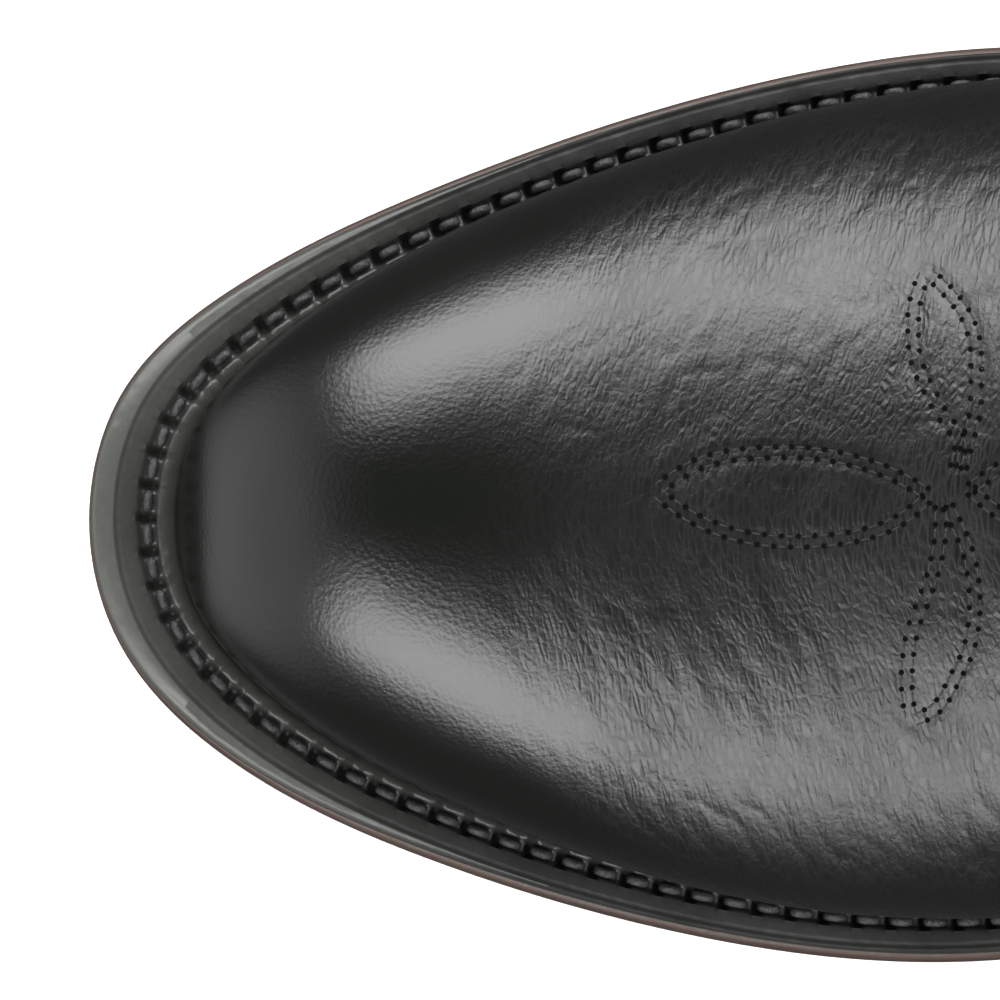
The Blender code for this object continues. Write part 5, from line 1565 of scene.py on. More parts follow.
# ------------------------------------------------------------------ the upper
@dataclass
class Upper:
    """Vamp, counter and shaft, with their linings and all their stitching."""

    last: Last
    vamp_thickness: float = 0.0016
    shaft_thickness: float = 0.0014
    lining: float = 0.0010
    stiffener: float = 0.0013
    gap: float = 0.0008
    half_round: float = 0.184
    row_gap: float = 0.0013
    double_gap: float = 1.35  # the wider double rows of the edges, in row gaps
    vamp_row: float = 0.0019
    counter_row: float = 0.0020
    counter_front: float = 0.16
    leaf_row: float = 0.0009
    leaf_clear: tuple[float, float] = (0.012, 0.022)
    leaf_half: float = 0.017
    side_leaf: tuple[float, float, float, float] = (0.044, 0.012, 0.0135, 0.016)  # round, up, half, lean
    seam_row: float = 0.0040
    seam_row_ends: tuple[float, float] = (0.020, 0.012)
    top_rows: tuple[float, float] = (0.0100, 0.0122)
    top_row_reach: float = 0.5 - 0.045
    bow: float = 0.18
    drawn_from: tuple[float, float, float] = (0.1320, -0.2189, 1.9074)
    drawn_at: float = 0.012

    def __post_init__(self) -> None:
        """Sets the depths of the layers and draws the noise."""
        self.shaft_depth = self.vamp_thickness + self.gap
        self.lining_depth = self.shaft_depth + self.shaft_thickness + self.gap
        self.heel_lining_depth = self.lining_depth + self.stiffener + self.gap
        self.wrinkles, self.swells = Noise(3), Noise(8)
        self.bare_skin = self._skin_tree()

    def _skin_tree(self) -> BVHTree:
        """The bare skin over the foot, to drop patterns on from above."""
        s = np.linspace(0.0004, self.last.s_tongue + 0.02, 150)
        u = np.linspace(-1, 1, 121)
        grid_s, grid_u = np.meshgrid(s, u, indexing="ij")
        points = self.last.layer(grid_s, grid_u, 0.0).reshape(-1, 3)
        return BVHTree.FromPolygons(points.tolist(), grid_faces(len(s), len(u)).tolist())

    def drop(self, plan: Array) -> tuple[Array, Array]:
        """A line drawn in plan, dropped on the foot as the pattern maker sees it.

        Args:
            plan: (x, y) points.

        Returns:
            The points on the skin and its normals there.
        """
        points, normals, eye = [], [], Vector(self.drawn_from)
        for x, y in plan:
            hit, normal, _, _ = self.bare_skin.ray_cast(eye, Vector((x, y, self.drawn_at)) - eye)
            if hit is not None:
                points.append(hit)
                normals.append(normal if normal.z > 0 else -normal)
        return np.array(points), np.array(normals)

    def row(self, line: Line, inward: float, start: float = 0.0, stop: float = 1.0,
            depth: float = 0.0, count: int = 260) -> tuple[Array, Array]:
        """A stitch row beside a pattern line.

        Args:
            line: The pattern line.
            inward: How far beside it, to the left as the line runs.
            start: Where on the line it starts.
            stop: Where on the line it stops.
            depth: The layer that it lies on.
            count: How many points to trace.

        Returns:
            Points and normals.
        """
        s, u = line(np.linspace(start, stop, count))
        u = wrap(u)
        points, normals = self.last.layer(s, u, depth), self.last.normal(s, u)
        ahead = np.gradient(points, axis=0)
        side = np.cross(normals, ahead)
        side /= np.linalg.norm(side, axis=1)[:, None]
        return points + side * inward, normals

    def double_row(self, seam: Seam, line: Line, inward: float, ends: tuple[float, float],
                   count: int) -> None:
        """Two stitch rows beside a pattern line, the second further in."""
        for step in (0.0, self.row_gap * self.double_gap):
            seam.add(*self.row(line, inward + math.copysign(step, inward), *ends, 0.0, count))

    # ---- the flower on the vamp
    PETALS = (  # each is the two edges of a petal in plan, in millimetres, from its neck to its tip
        (((-1.4, -167.0), (-3.2, -170.1), (-5.1, -175.0), (-6.3, -181.7), (-6.3, -187.2), (-5.0, -194.5),
          (-1.6, -200.0)),
         ((-0.6, -167.0), (1.9, -170.1), (3.8, -175.0), (4.6, -181.7), (3.9, -189.6), (1.5, -195.7),
          (-1.6, -200.0))),
        (((-4.6, -163.3), (-7.9, -162.9), (-10.3, -164.5), (-13.7, -166.4), (-16.8, -167.9), (-21.7, -168.5),
          (-24.6, -168.3), (-28.6, -166.9)),
         ((-4.6, -162.6), (-7.9, -161.8), (-10.4, -161.1), (-15.3, -160.8), (-20.5, -161.1), (-23.0, -162.0),
          (-26.0, -164.2), (-28.6, -166.9))),
        (((0.4, -165.2), (4.2, -165.3), (8.2, -166.1), (11.8, -167.3), (15.0, -168.5), (17.9, -169.1),
          (22.0, -169.4), (26.6, -168.8)),
         ((0.4, -164.3), (3.3, -162.9), (6.6, -161.7), (10.6, -161.1), (13.9, -161.1), (18.3, -162.0),
          (21.5, -163.6), (25.0, -165.8), (26.6, -168.8))),
        (((-2.0, -161.4), (-4.6, -157.6), (-6.9, -151.5), (-7.4, -144.5), (-5.9, -137.0), (-2.2, -129.5)),
         ((-1.6, -161.4), (1.4, -157.6), (3.7, -151.5), (4.0, -144.5), (2.3, -137.0), (-2.2, -129.5))))

    def flower(self) -> Seam:
        """Four leaf shapes in double rows that meet over the ball of the foot."""
        seam = Seam("vamp_flower_stitching", FINE)
        for petal in self.PETALS:
            for edge in petal:
                line = line_through(np.array(edge) * MM, samples=120)[1]
                side = leftward(line)
                for offset in (-0.5, 0.5):
                    points, normals = self.drop(line + side * offset * self.row_gap)
                    seam.add(points, normals)
        return seam

    # ---- reliefs
    def break_zone(self, s: Array, u: Array, bare: Array) -> Array:
        """Where walking has broken the vamp: from behind the toe box to the tongue, 0 to 1."""
        y = bare[..., 1]
        near = smooth((y + 0.221 + 0.010 * np.cos(3.0 * u)) / 0.030)
        return near * (1 - 0.65 * smooth((s - 0.165) / 0.03)) * (1 - 0.55 * smooth((np.abs(u) - 0.72) / 0.2))

    def vamp_relief(self, grooves: Seam) -> Height:
        """Heights of the vamp's skin: break creases, slow lumps and the stitches' channels."""
        def height(s: Array, u: Array, bare: Array) -> Array:
            """Metres off the last."""
            zone = self.break_zone(s, u, bare)
            w = u * self.half_round
            bowed = s - self.bow * (np.hypot(w, 0.008) - 0.008)
            q = np.stack([bare[..., 0], bowed, bare[..., 2]], axis=-1)
            q = q + 0.0012 * self.swells.at(bare, 0.006)[..., None]
            folds = self.swells.ridges(q, (0.0075, 0.0033, 0.0075), 5.0)
            soft = self.wrinkles.at(q, (0.0042, 0.0018, 0.0042))
            lumps = 0.00009 * self.swells.at(bare, 0.011) + 0.00020 * self.swells.at(bare, 0.028)
            creases = -0.00009 * folds + 0.000045 * soft
            return zone * creases + lumps * (0.30 + 0.70 * zone) + grooves.groove(bare)
        return height

    def plain_relief(self, grooves: Seam | None, amount: float = 1.0) -> Height:
        """Heights of a counter or shaft panel: slow lumps, faint wrinkles and stitches' channels."""
        def height(s: Array, u: Array, bare: Array) -> Array:
            """Metres off the last."""
            q = np.stack([bare[..., 0], bare[..., 1], 3.0 * bare[..., 2]], axis=-1)
            lumps = 0.00016 * self.swells.at(bare, 0.012) + 0.0003 * self.swells.at(bare, 0.035)
            fine = -0.00008 * self.wrinkles.ridges(q, 0.010, 6.0)
            sunk = grooves.groove(bare) if grooves and grooves.lines else 0.0
            return amount * (lumps + fine) + sunk
        return height

    def ankle_creases(self, s: Array, u: Array, bare: Array) -> Array:
        """Where the shaft has creased: most round the ankle."""
        return 0.25 + 0.75 * hump(bare[..., 2], 0.13, 0.045)

    # ---- pieces
    def build(self) -> None:
        """Makes every leather panel and its stitching."""
        self._forefoot()
        self._heel()
        self._shaft()
        self._linings()

    def _forefoot(self) -> None:
        """The vamp with its tongue, the flower and the double row along its edge."""
        last = self.last

        def edge(a: Array) -> tuple[Array, Array]:
            """The vamp's upper edge."""
            u = across(a)
            return np.where(np.abs(u) > last.join_u, last.s_join, last.quarter_line(u)) - last.seam_gap, u
        flower = self.flower()
        rows = Seam("vamp_edge_stitching", EDGE)
        self.double_row(rows, edge, self.vamp_row, (0.035, 0.965), 420)
        sunk = Seam("sunk", FINE)
        sunk.lines = flower.lines + rows.lines
        vamp = Panel(last, "vamp_upper", lambda a: (0.0 * a, across(a)), edge, 0.0, self.vamp_thickness,
                     340, self._foot_rows(last.s_join, 420), Finish.VAMP, "vamp_leather", ("vamp",),
                     self.vamp_relief(sunk), self.break_zone, bow=self.bow).build()
        flower.sew(vamp)
        rows.sew(vamp)

    def _foot_rows(self, s_end: float, rows: int) -> Array:
        """Shares of s_end at which rungs from the toe are evenly spaced at their foot and on the ridge."""
        last = self.last
        s = np.linspace(0, s_end, 900)
        edge = last.edges[MEDIAL]
        measure = s + np.interp(last.place(s), edge[:, 1], lengths(edge))
        return np.interp(np.linspace(0, 1, rows + 1), measure / measure[-1], s / s_end)

    def _heel(self) -> None:
        """The counter, with a double row up its front edges and round its top."""
        last = self.last
        first = float(last.place(np.array(last.s_join)))

        def top(a: Array) -> tuple[Array, Array]:
            """The counter's top edge."""
            return last.heel_top(a, last.join_u, last.counter_rise)

        def border(a: Array) -> tuple[Array, Array]:
            """Up the front edge, over the top and down again."""
            share = self.counter_front
            s_top, u_top = top(np.clip((a - share) / (1 - 2 * share), 0, 1))
            climb = 1 - np.clip(np.minimum(a, 1 - a) / share, 0, 1)
            u = last.join_u + (1 - last.join_u) * climb
            rising = (a < share) | (a > 1 - share)
            return (np.where(rising, last.s_join, s_top),
                    np.where(a < share, u, np.where(a > 1 - share, 2 - u, u_top)))
        rows = Seam("counter_stitching", EDGE)
        self.double_row(rows, border, -self.counter_row, (0.05, 0.95), 520)
        counter = Panel(last, "counter_upper", lambda a: last.foot_line(a, first), top, 0.0,
                        self.vamp_thickness, 300, 90, Finish.COUNTER, "vamp_leather", ("counter",),
                        self.plain_relief(rows, 0.7), lambda s, u, bare: 0.15 + 0 * s).build()
        rows.sew(counter)

    def _leaf(self, middle: float, low: float, high: float, half: float, lean: float) -> Array:
        """A leaf outline on the shaft as (w, s) points: w is the distance round from the ridge."""
        t = np.linspace(0, 1, 90)
        width = half * np.sin(math.pi * t ** 0.82) ** 0.8
        s = low + (high - low) * t
        bend = lean * (t - 0.2) ** 2
        right = np.column_stack([middle + bend + width, s])
        left = np.column_stack([middle + bend - width, s])
        return np.concatenate([right, left[::-1][1:]])

    def _leaves(self, back: bool) -> list[Array]:
        """The nested leaves of one face of the shaft, as (w, s) lines from the ridge or the back seam."""
        last = self.last
        low = (last.s_counter_top if back else last.s_tongue) + self.leaf_clear[0]
        high = last.s_top - (last.back_dip if back else last.front_dip) - self.leaf_clear[1]
        middle, found = (low + high) / 2, []
        for scale in (1.0, 0.72, 0.40):
            reach = (high - low) / 2 * scale
            found.append(self._leaf(0.0, middle - reach, middle + reach, self.leaf_half * scale, 0.0))
        round_it, up, half, lean = self.side_leaf
        for side in (1, -1):
            for scale in (1.0, 0.68, 0.34):
                centre, reach = middle + up, (high - low) * 0.53 * scale
                found.append(self._leaf(side * round_it, centre - reach, centre + reach, half * scale,
                                        side * lean))
        return found

    def _shaft_rows(self, back: bool) -> Seam:
        """All stitch rows of one face of the shaft."""
        last = self.last
        name = "back" if back else "front"
        seam = Seam(f"shaft_{name}_stitching", SHAFT_ROW, Finish.SHAFT_THREAD)

        def lay(s: Array, u: Array) -> None:
            """Adds a row along these places."""
            seam.add(last.layer(s, u, self.shaft_depth), last.normal(s, u))
        for number, outline in enumerate(self._leaves(back)):
            side = leftward(outline)
            for offset in ((-self.leaf_row, self.leaf_row) if number % 3 == 0 else (0.0,)):
                w, s = (outline + side * offset).T
                u = w / self.half_round
                lay(s, wrap(1 + u) if back else u)
        for side, _ in SIDES:
            s = np.linspace(last.s_join + self.seam_row_ends[0], last.s_top - self.seam_row_ends[1], 260)
            beside = (1 if back else -1) * self.seam_row / self.half_round
            lay(s, side * (last.side_seam(s, side) + beside))
        for below in self.top_rows:
            reach = np.linspace(-1, 1, 200) * self.top_row_reach
            u = wrap(1 + reach) if back else reach
            lay(last.top_line(u) - below, u)
        return seam

    def _front_lines(self) -> tuple[Line, Line]:
        """The lower and the upper edge of the front of the shaft."""
        last, half_gap = self.last, self.last.seam_u_gap

        def low(a: Array) -> tuple[Array, Array]:
            """Under the vamp's edge."""
            u = (last.join_u - half_gap) * across(a)
            return last.quarter_line(u) - last.lap, u

        def high(a: Array) -> tuple[Array, Array]:
            """The scalloped top."""
            u = (last.seam_u - half_gap) * across(a)
            return last.top_line(u), u
        return low, high

    def _shaft(self) -> None:
        """The front and the back of the shaft."""
        last = self.last
        low, high = self._front_lines()
        front_rows, back_rows = self._shaft_rows(False), self._shaft_rows(True)
        front = Panel(last, "shaft_front_upper", low, high, self.shaft_depth, self.shaft_thickness, 220, 270,
                      Finish.SHAFT, "shaft_leather", ("shaft_front",), self.plain_relief(front_rows),
                      self.ankle_creases).build()
        back = Panel(last, "shaft_back_upper", last.back_lower(last.s_join - last.lap), self._back_top,
                     self.shaft_depth, self.shaft_thickness, 230, 290, Finish.SHAFT, "shaft_leather",
                     ("shaft_back",), self.plain_relief(back_rows), self.ankle_creases).build()
        front_rows.sew(front)
        back_rows.sew(back)

    def _back_top(self, a: Array) -> tuple[Array, Array]:
        """The scalloped top of the back."""
        u = around(a, self.last.seam_u + self.last.seam_u_gap)
        return self.last.top_line(wrap(u)), u

    def _lining_depth(self, s: Array, u: Array) -> Array:
        """The lining's depth: it steps in behind the heel stiffener."""
        last = self.last
        place = last.place(s)
        over = smooth((place + 0.075) / 0.03) * (1 - smooth((place - last.back_y - 0.070) / 0.035))
        share = over * smooth((np.abs(u) - 0.40) / 0.14)
        return self.lining_depth + (self.heel_lining_depth - self.lining_depth) * share

    def _linings(self) -> None:
        """The linings of the foot and of the shaft, with their good side inwards."""
        last = self.last
        low_u, gap, deep = last.join_u - last.seam_u_gap, last.seam_gap, self.lining_depth
        _, high = self._front_lines()
        linings = (
            ("foot_lining", lambda a: (0.0 * a, across(a)), lambda a: (last.s_join - gap + 0 * a, across(a)),
             deep, 60, self._foot_rows(last.s_join, 60), "vamp_lining"),
            ("shaft_front_lining", lambda a: (last.s_join + gap + 0 * a, low_u * across(a)), high,
             deep, 70, 110, "shaft_lining_front"),
            ("shaft_back_lining", last.back_lower(last.s_join + gap), self._back_top,
             self._lining_depth, 90, 110, "shaft_lining_back"))
        for name, low, top, depth, columns, rows, node in linings:
            Panel(last, name, low, top, depth, self.lining, columns, rows, Finish.LINING, "lining_leather",
                  (node,), relief=self.plain_relief(None, 0.5), inward=True, stride=2,
                  edge_steps=(0.0, 0.3, 1.0)).build()


# ------------------------------------------------------------------ trims and straps
def shaft_flow(points: Array) -> Array:
    """Where the finish is read on trims: along the boot, up it, and nothing across."""
    return np.column_stack([points[:, 1], points[:, 2], 0 * points[:, 0]])


@dataclass
class Trims:
    """The piping over the side seams and the binding round the top."""

    upper: Upper
    piping_width: float = 0.0040
    piping_height: float = 0.0016
    piping_ends: tuple[float, float] = (0.005, 0.0065)
    piping_dive: float = 0.0012
    dive_over: float = 0.016
    piping_under: float = 0.0004
    piping_lift: float = 0.0001
    binding_depth: float = 0.0060
    binding_row: float = 0.0019
    binding_thickness: float = 0.0009
    binding_gap: float = 0.0006

    def build(self) -> None:
        """Makes the piping and the binding."""
        for side, name in SIDES:
            self._piping(side, name)
        self._binding()

    def _marks(self, rings: Array, wear: Array) -> dict[str, Array]:
        """Values for the finish."""
        return {"wear": wear, "crease": 0.3 + 0 * wear, "flow": shaft_flow(rings.reshape(-1, 3))}

    def _piping(self, side: int, name: str) -> None:
        """A corded bead over one side seam."""
        last, half = self.upper.last, self.piping_width / 2
        s = np.linspace(last.s_join - self.piping_ends[0], last.s_top - self.piping_ends[1], 420)
        dive = self.piping_dive * (1 - smooth((s - last.s_join) / self.dive_over))
        middle = side * last.side_seam(s, side)
        turn = np.linspace(0, math.pi, 11)
        section = [(half * math.cos(t), self.piping_height * math.sin(t) ** 0.8) for t in turn]
        rings = []
        for w, up in [*section, (0, -self.piping_under)]:
            u = middle + side * w / self.upper.half_round
            rings.append(last.layer(s, u, self.upper.shaft_depth + self.piping_lift - up + dive))
        rings = np.array(rings).transpose(1, 0, 2)
        faces = tube_faces(*rings.shape[:2])
        wear = np.tile(np.concatenate([np.sin(turn) ** 4 * 0.18, [0.0]]), len(rings))
        made = new_piece(f"seam_piping_{name}", rings.reshape(-1, 3), faces, Finish.TRIM, "boot",
                         "shaft_leather", self._marks(rings, wear), (f"side_piping_{name}",))
        turn_out(made)

    def _binding(self) -> None:
        """The narrow leather folded over the scalloped edge, and its stitch row."""
        last, thick = self.upper.last, self.binding_thickness
        outer = self.upper.shaft_depth - self.binding_gap - thick
        inner = self.upper.lining_depth + self.upper.lining + self.binding_gap + thick
        over, deep = self.binding_gap, self.binding_depth
        middle, half = (outer + inner) / 2, (inner - outer) / 2
        out_side = [(-deep, outer + thick), (-deep, outer + 0.0004), (-deep + 0.0004, outer + 0.0001),
                    (-deep + 0.001, outer), (-0.0030, outer), (-0.0014, outer)]
        arch = [(over - 0.0008 + (thick + 0.0008) * math.sin(t), middle - half * math.cos(t))
                for t in np.linspace(0.15, math.pi - 0.15, 12)]
        in_side = [(up, outer + inner - depth) for up, depth in out_side[::-1]]
        under = [(over - 0.0006, inner - thick), (over - 0.0002, middle), (over - 0.0006, outer + thick)]
        section = [*out_side, *arch, *in_side, *under]
        u = np.linspace(-1, 1, 421)[:-1]
        rings = np.stack([last.layer(last.top_line(u) + up, u, depth) for up, depth in section], axis=1)
        count, total = len(section), len(u)
        faces = grid_faces(total, count, 0, True).tolist()
        first, final = np.arange(count), np.arange(count) + (total - 1) * count
        faces += [[int(final[j]), int(final[(j + 1) % count]), int(first[(j + 1) % count]), int(first[j])]
                  for j in range(count)]
        wear = np.tile([0.25 * math.exp(-((up - over) / 0.0012) ** 2) for up, _ in section], total)
        made = new_piece("edge_binding", rings.reshape(-1, 3), faces, Finish.TRIM, "boot", "shaft_leather",
                         self._marks(rings, wear), ("top_binding",))
        turn_out(made)
        seam = Seam("binding_stitching", EDGE, Finish.SHAFT_THREAD)
        for low, high in ((-0.44, 0.44), (0.56, 1.44)):
            v = wrap(np.linspace(low, high, 320))
            s = last.top_line(v) - deep + self.binding_row
            seam.add(last.layer(s, v, outer), last.normal(s, v))
        seam.sew(made)


@dataclass
class Straps:
    """The two pull straps, each one band sewn down outside and inside with a free loop between."""

    trims: Trims
    width: float = 0.026
    thickness: float = 0.0020
    leg: float = 0.052
    loop: float = 0.020
    swing: float = math.radians(80)
    gap: float = 0.0003
    snug: float = 0.00135  # how much nearer the shaft the legs lie below the binding
    snug_share: float = 0.8  # of it on the inside
    edge_turns: tuple[float, float, float] = (0.8, 1.57, 2.3)
    bend_zone: tuple[float, float] = (0.0045, 0.0035)

    def build(self) -> None:
        """Makes both straps and their stitching."""
        for side, name in SIDES:
            self._strap(side, name)

    def _depths(self) -> tuple[float, float]:
        """The outer and the inner leg's outer face, as depths in the shaft."""
        upper, trims = self.trims.upper, self.trims
        outer = upper.shaft_depth - trims.binding_gap - trims.binding_thickness - self.gap - self.thickness
        inner = upper.lining_depth + upper.lining + trims.binding_gap + trims.binding_thickness + self.gap
        return outer, inner

    def _strap(self, side: int, name: str) -> None:
        """One strap: a rounded band swept along its legs and loop."""
        last = self.trims.upper.last
        outer, inner = self._depths()
        reach = (inner - outer + self.thickness) / 2 * math.sin(self.swing) + self.gap
        bend = last.s_top + self.trims.binding_gap + self.trims.binding_thickness + reach
        half = self.thickness / 2
        t = np.linspace(0, 1, 26)[:-1]
        low = last.s_top - self.leg
        snug = self.snug * (1 - smooth((t - 0.45) / 0.35))
        legs = [(low + (bend - low) * t, outer + half + snug),
                (low + (bend - low) * t[::-1], inner + half - self.snug_share * snug[::-1])]
        turns = np.linspace(0, math.pi, 25)
        across_w = np.linspace(-1, 1, 9) * (self.width / 2 - half)
        u = side * (last.seam_u + across_w / self.trims.upper.half_round)
        base_out = last.layer(np.full(9, bend), u, outer + half)
        base_in = last.layer(np.full(9, bend), u, inner + half)
        middle, span = (base_out + base_in) / 2, (base_out - base_in) / 2
        rise = self.loop - np.linalg.norm(span[4]) - half
        straight = [middle + span + np.array([0, 0, rise * k]) for k in np.linspace(0, 1, 6)[:-1]]
        arch = [middle + span * math.cos(a) + np.array([0, 0, rise + np.linalg.norm(span[4]) * math.sin(a)])
                for a in turns]
        falling = [middle - span + np.array([0, 0, rise * k]) for k in np.linspace(1, 0, 6)[1:]]
        outside, inside = ([last.layer(np.full(9, s), u, d) for s, d in zip(*leg)] for leg in legs)
        centre = np.array([*outside, *straight, *arch, *falling, *inside])
        ahead = np.gradient(centre, axis=0)
        sideways = np.gradient(centre, axis=1)
        up = np.cross(sideways, ahead) * side
        up /= np.linalg.norm(up, axis=2)[..., None]
        edge = sideways / np.linalg.norm(sideways, axis=2)[..., None]
        rings = []
        for row, normal, out in zip(centre, up, edge):
            ring = []
            for way, order in ((1, range(9)), (-1, range(8, -1, -1))):
                ring += [row[j] + way * normal[j] * half for j in order]
                end = order[-1]
                ring += [row[end] + way * half * (out[end] * math.sin(a) + normal[end] * math.cos(a))
                         for a in self.edge_turns]
            rings.append(ring)
        rings = np.array(rings)
        faces = tube_faces(*rings.shape[:2])
        wear = np.tile([0.0] * 8 + [0.3, 0.5, 0.6, 0.5, 0.3] + [0.0] * 7 + [0.3, 0.5, 0.6, 0.5], len(rings))
        flat = rings.reshape(-1, 3)
        marks = {"wear": wear[:len(flat)], "crease": np.full(len(flat), 0.4),
                 "flow": shaft_flow(flat)}
        strap = new_piece(f"pull_strap_{name}", flat, faces, Finish.STRAP, "", "strap_leather", marks,
                          (f"strap_{name}_outer", f"strap_{name}_inner", f"strap_{name}_loop"))
        turn_out(strap)
        self._stitch(strap, name, centre, up, len(outside))
        x, y, z = map(float, middle[4])
        below, above = self.bend_zone
        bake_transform(strap)

    def _stitch(self, strap: bpy.types.Object, name: str, centre: Array, up: Array, legs: int) -> None:
        """Rows down both edges of the sewn legs, joined across the foot of each leg."""
        seam = Seam(f"strap_{name}_stitching", EDGE, Finish.SHAFT_THREAD)
        half = self.thickness / 2
        for first, step in ((2, 1), (len(centre) - 3, -1)):
            rows = [first + step * i for i in range(legs - 7)]
            for j in (0, 8):
                seam.add(centre[rows, j] + up[rows, j] * half, up[rows, j])
            seam.add(centre[first] + up[first] * half, up[first])
        seam.sew(strap)


# ------------------------------------------------------------------ inside
@dataclass
class Inside:
    """The sock in the boot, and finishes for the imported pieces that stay."""

    last: Last
    thickness: float = 0.0015
    inset: float = 0.0093
    sunk: float = 0.0006
    crown: float = 0.0005
    lift: float = 0.0001

    def build(self) -> None:
        """Makes the sock and dresses the kept nodes."""
        self._sock()
        kept = {"cork_filler": Finish.CORK, "shank": Finish.STEEL, "insole": Finish.BOARD,
                "toe_box": Finish.BOARD, "heel_stiffener": Finish.BOARD, "heel_cap": Finish.RUBBER}
        kept.update({f"heel_nail_{i}": Finish.STEEL for i in range(1, 6)})
        for node, finish in kept.items():
            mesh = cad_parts[node].data
            mesh.materials.clear()
            mesh.materials.append(finish.made)
            LOG.info("%s: dressed as %s", node, finish.value.name)

    def _sock(self) -> None:
        """The sock: a thin padded sheet over the insole."""
        last = self.last
        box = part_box("sock_liner")
        edge = {side: last.inset(side, self.inset)[::6] for side, _ in SIDES}
        rows = []
        base = float(box[0][2]) - float(last.sole_top(edge[MEDIAL][:, 1]).min())
        for left, right in zip(edge[LATERAL], edge[MEDIAL]):
            share = np.linspace(0, 1, 31)[:, None]
            xy = left + (right - left) * share
            crown = self.crown * np.sin(math.pi * share[:, 0]) ** 0.5
            z = last.sole_top(xy[:, 1]) + base + self.thickness - self.sunk + crown
            rows.append(np.column_stack([xy, z]))
        top = np.array(rows)[2:-2]
        bottom = top.copy()
        bottom[..., 2] = last.sole_top(top[..., 1]) + base + self.lift
        count, wide = top.shape[:2]
        points = np.concatenate([top.reshape(-1, 3), bottom.reshape(-1, 3)])
        faces = grid_faces(count, wide).tolist()
        faces += [face[::-1] for face in grid_faces(count, wide, count * wide).tolist()]
        grid = np.arange(count * wide).reshape(count, wide)
        border = [*grid[0], *grid[1:, -1], *grid[-1, ::-1][1:], *grid[::-1, 0][1:-1]]
        shift = count * wide
        for i, here in enumerate(border):
            after = border[(i + 1) % len(border)]
            faces.append([int(after), int(here), int(here) + shift, int(after) + shift])
        marks = {"wear": np.zeros(len(points)), "crease": np.full(len(points), 0.3),
                 "flow": points}
        made = new_piece("sock", points, faces, Finish.SOCK, "boot", "lining_leather", marks, ("sock_liner",))
        turn_out(made)


# ------------------------------------------------------------------ the studio
@dataclass(frozen=True)
class SoftBox:
    """A large soft light."""

    name: str
    spot: tuple[float, float, float]
    aim: tuple[float, float, float]
    width: float
    height: float
    watts: float

    def build(self) -> None:
        """Hangs the light."""
        data = bpy.data.lights.new(self.name, "AREA")
        data.shape, data.size, data.size_y = "RECTANGLE", self.width, self.height
        data.energy = self.watts
        lamp = bpy.data.objects.new(self.name, data)
        bpy.context.scene.collection.objects.link(lamp)
        lamp.location = self.spot
        lamp.rotation_euler = (Vector(self.aim) - Vector(self.spot)).to_track_quat("-Z", "Y").to_euler()
        lamp.visible_camera = False


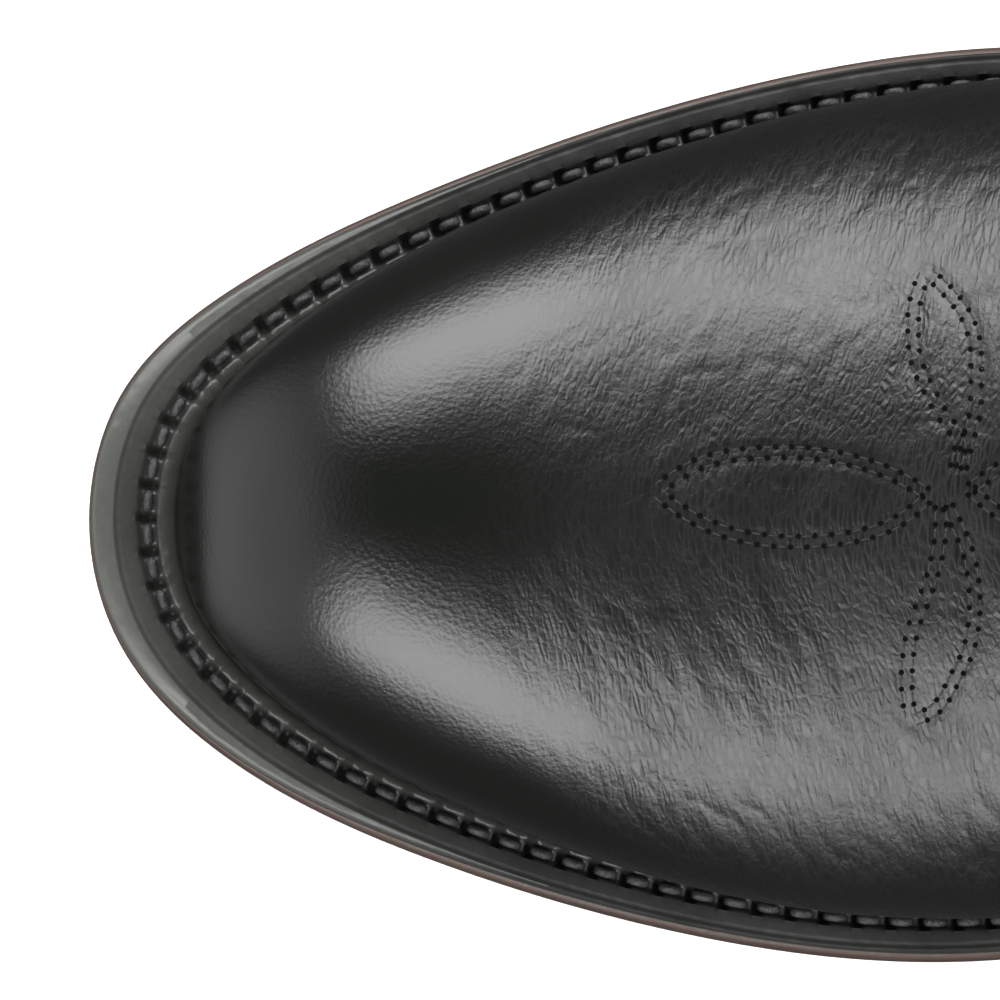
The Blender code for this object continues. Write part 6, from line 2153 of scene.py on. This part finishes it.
@dataclass
class Studio:
    """A pale floor, soft lights and the camera over the toe."""

    floor_size: float = 6.0
    over: tuple[float, float] = (-0.0005, -0.2189)
    lean: float = 4.0
    away: float = 1.9
    field: float = 0.122
    level: float = 0.012
    backdrop: float = 1.0
    room: float = 0.07
    wall: float = 1.1
    around_toe: tuple[float, float, float] = (0.0, -0.19, 0.04)
    # Each box: name, azimuth from ahead to the inner side, angle from overhead, distance, size, power.
    boxes: tuple[tuple[str, float, float, float, float, float, float], ...] = (
        ("lateral_box", -76.0, 61.0, 1.25, 1.35, 0.74, 27.0),
        ("medial_box", 60.0, 56.0, 1.25, 1.20, 0.68, 21.0),
        ("back_lateral_box", -142.0, 62.0, 1.9, 1.3, 0.9, 24.0),
        ("back_medial_box", 150.0, 66.0, 1.9, 1.3, 0.9, 20.0))

    def build(self) -> None:
        """Sets the floor, the world, the lights and the camera."""
        self._floor()
        self._world()
        for name, azimuth, tilt, away, width, height, watts in self.boxes:
            a, t = math.radians(azimuth), math.radians(tilt)
            way = Vector((math.sin(t) * math.sin(a), -math.sin(t) * math.cos(a), math.cos(t)))
            spot = Vector(self.around_toe) + way * away
            SoftBox(name, tuple(spot), self.around_toe, width, height, watts).build()
        self._camera()
        bpy.context.scene.view_settings.view_transform = "Standard"

    def _world(self) -> None:
        """A white backdrop that glossy leather sees as a dim room with a paler wall ahead of the toe."""
        world = bpy.data.worlds.new("studio")
        bpy.context.scene.world = world
        world.use_nodes = True
        tree = world.node_tree
        back, path = tree.nodes["Background"], tree.nodes.new("ShaderNodeLightPath")
        spot, ahead = tree.nodes.new("ShaderNodeTexCoord"), tree.nodes.new("ShaderNodeVectorMath")
        wall, tone = tree.nodes.new("ShaderNodeMapRange"), tree.nodes.new("ShaderNodeMix")
        ahead.operation = "DOT_PRODUCT"
        ahead.inputs[1].default_value = (0.0, -1.0, 0.0)
        wall.interpolation_type = "SMOOTHSTEP"
        for key, value in ((1, 0.62), (2, 0.96), (3, self.room), (4, self.wall)):
            wall.inputs[key].default_value = value
        tone.inputs[2].default_value = self.backdrop
        for start, end in ((spot.outputs["Generated"], ahead.inputs[0]),
                           (ahead.outputs["Value"], wall.inputs[0]),
                           (path.outputs["Is Glossy Ray"], tone.inputs[0]), (wall.outputs[0], tone.inputs[3]),
                           (tone.outputs[0], back.inputs["Strength"])):
            tree.links.new(start, end)
        back.inputs["Color"].default_value = (1.0, 1.0, 1.0, 1.0)

    def _floor(self) -> None:
        """A plain pale floor under the sole."""
        half, low = self.floor_size / 2, -0.0004
        mesh = bpy.data.meshes.new("floor")
        corners = [(x * half, y * half, low) for x, y in ((-1, -1), (1, -1), (1, 1), (-1, 1))]
        mesh.from_pydata(corners, [], [(0, 1, 2, 3)])
        floor = bpy.data.objects.new("floor", mesh)
        bpy.context.scene.collection.objects.link(floor)
        g = Graph("floor_paper")
        tone = g.mix(g.noise(3.0, 2.0) * 0.3, (0.93, 0.93, 0.93), (0.90, 0.90, 0.90))
        mesh.materials.append(g.finish({"Base Color": tone, "Roughness": 0.75}))
        floor.visible_glossy = False

    def _camera(self) -> None:
        """The camera looks down on the toe, a little from the inner side."""
        data = bpy.data.cameras.new("camera")
        data.sensor_width = 36.0
        data.lens = 36.0 * self.away / self.field
        data.clip_start, data.clip_end = 0.05, 100.0
        camera = bpy.data.objects.new("camera", data)
        bpy.context.scene.collection.objects.link(camera)
        lean = math.radians(self.lean)
        back = Vector((math.sin(lean), 0.0, math.cos(lean)))
        target = Vector((*self.over, self.level))
        camera.location = target + back * self.away
        camera.rotation_mode = "QUATERNION"
        right, up = Vector((0.0, 1.0, 0.0)), Vector((-math.cos(lean), 0.0, math.sin(lean)))
        from_axes = [[right[i], up[i], back[i]] for i in range(3)]
        camera.rotation_quaternion = Matrix(from_axes).to_quaternion()
        bpy.context.scene.camera = camera


def main() -> None:
    """Builds the boot and the studio."""
    logging.basicConfig(level=logging.INFO, format="%(name)s %(message)s", stream=sys.stdout)
    last = Last()
    upper = Upper(last)
    trims = Trims(upper)
    SoleUnit(last).build()
    upper.build()
    trims.build()
    Straps(trims).build()
    Inside(last).build()
    Studio().build()


if __name__ == "__main__":
    main()
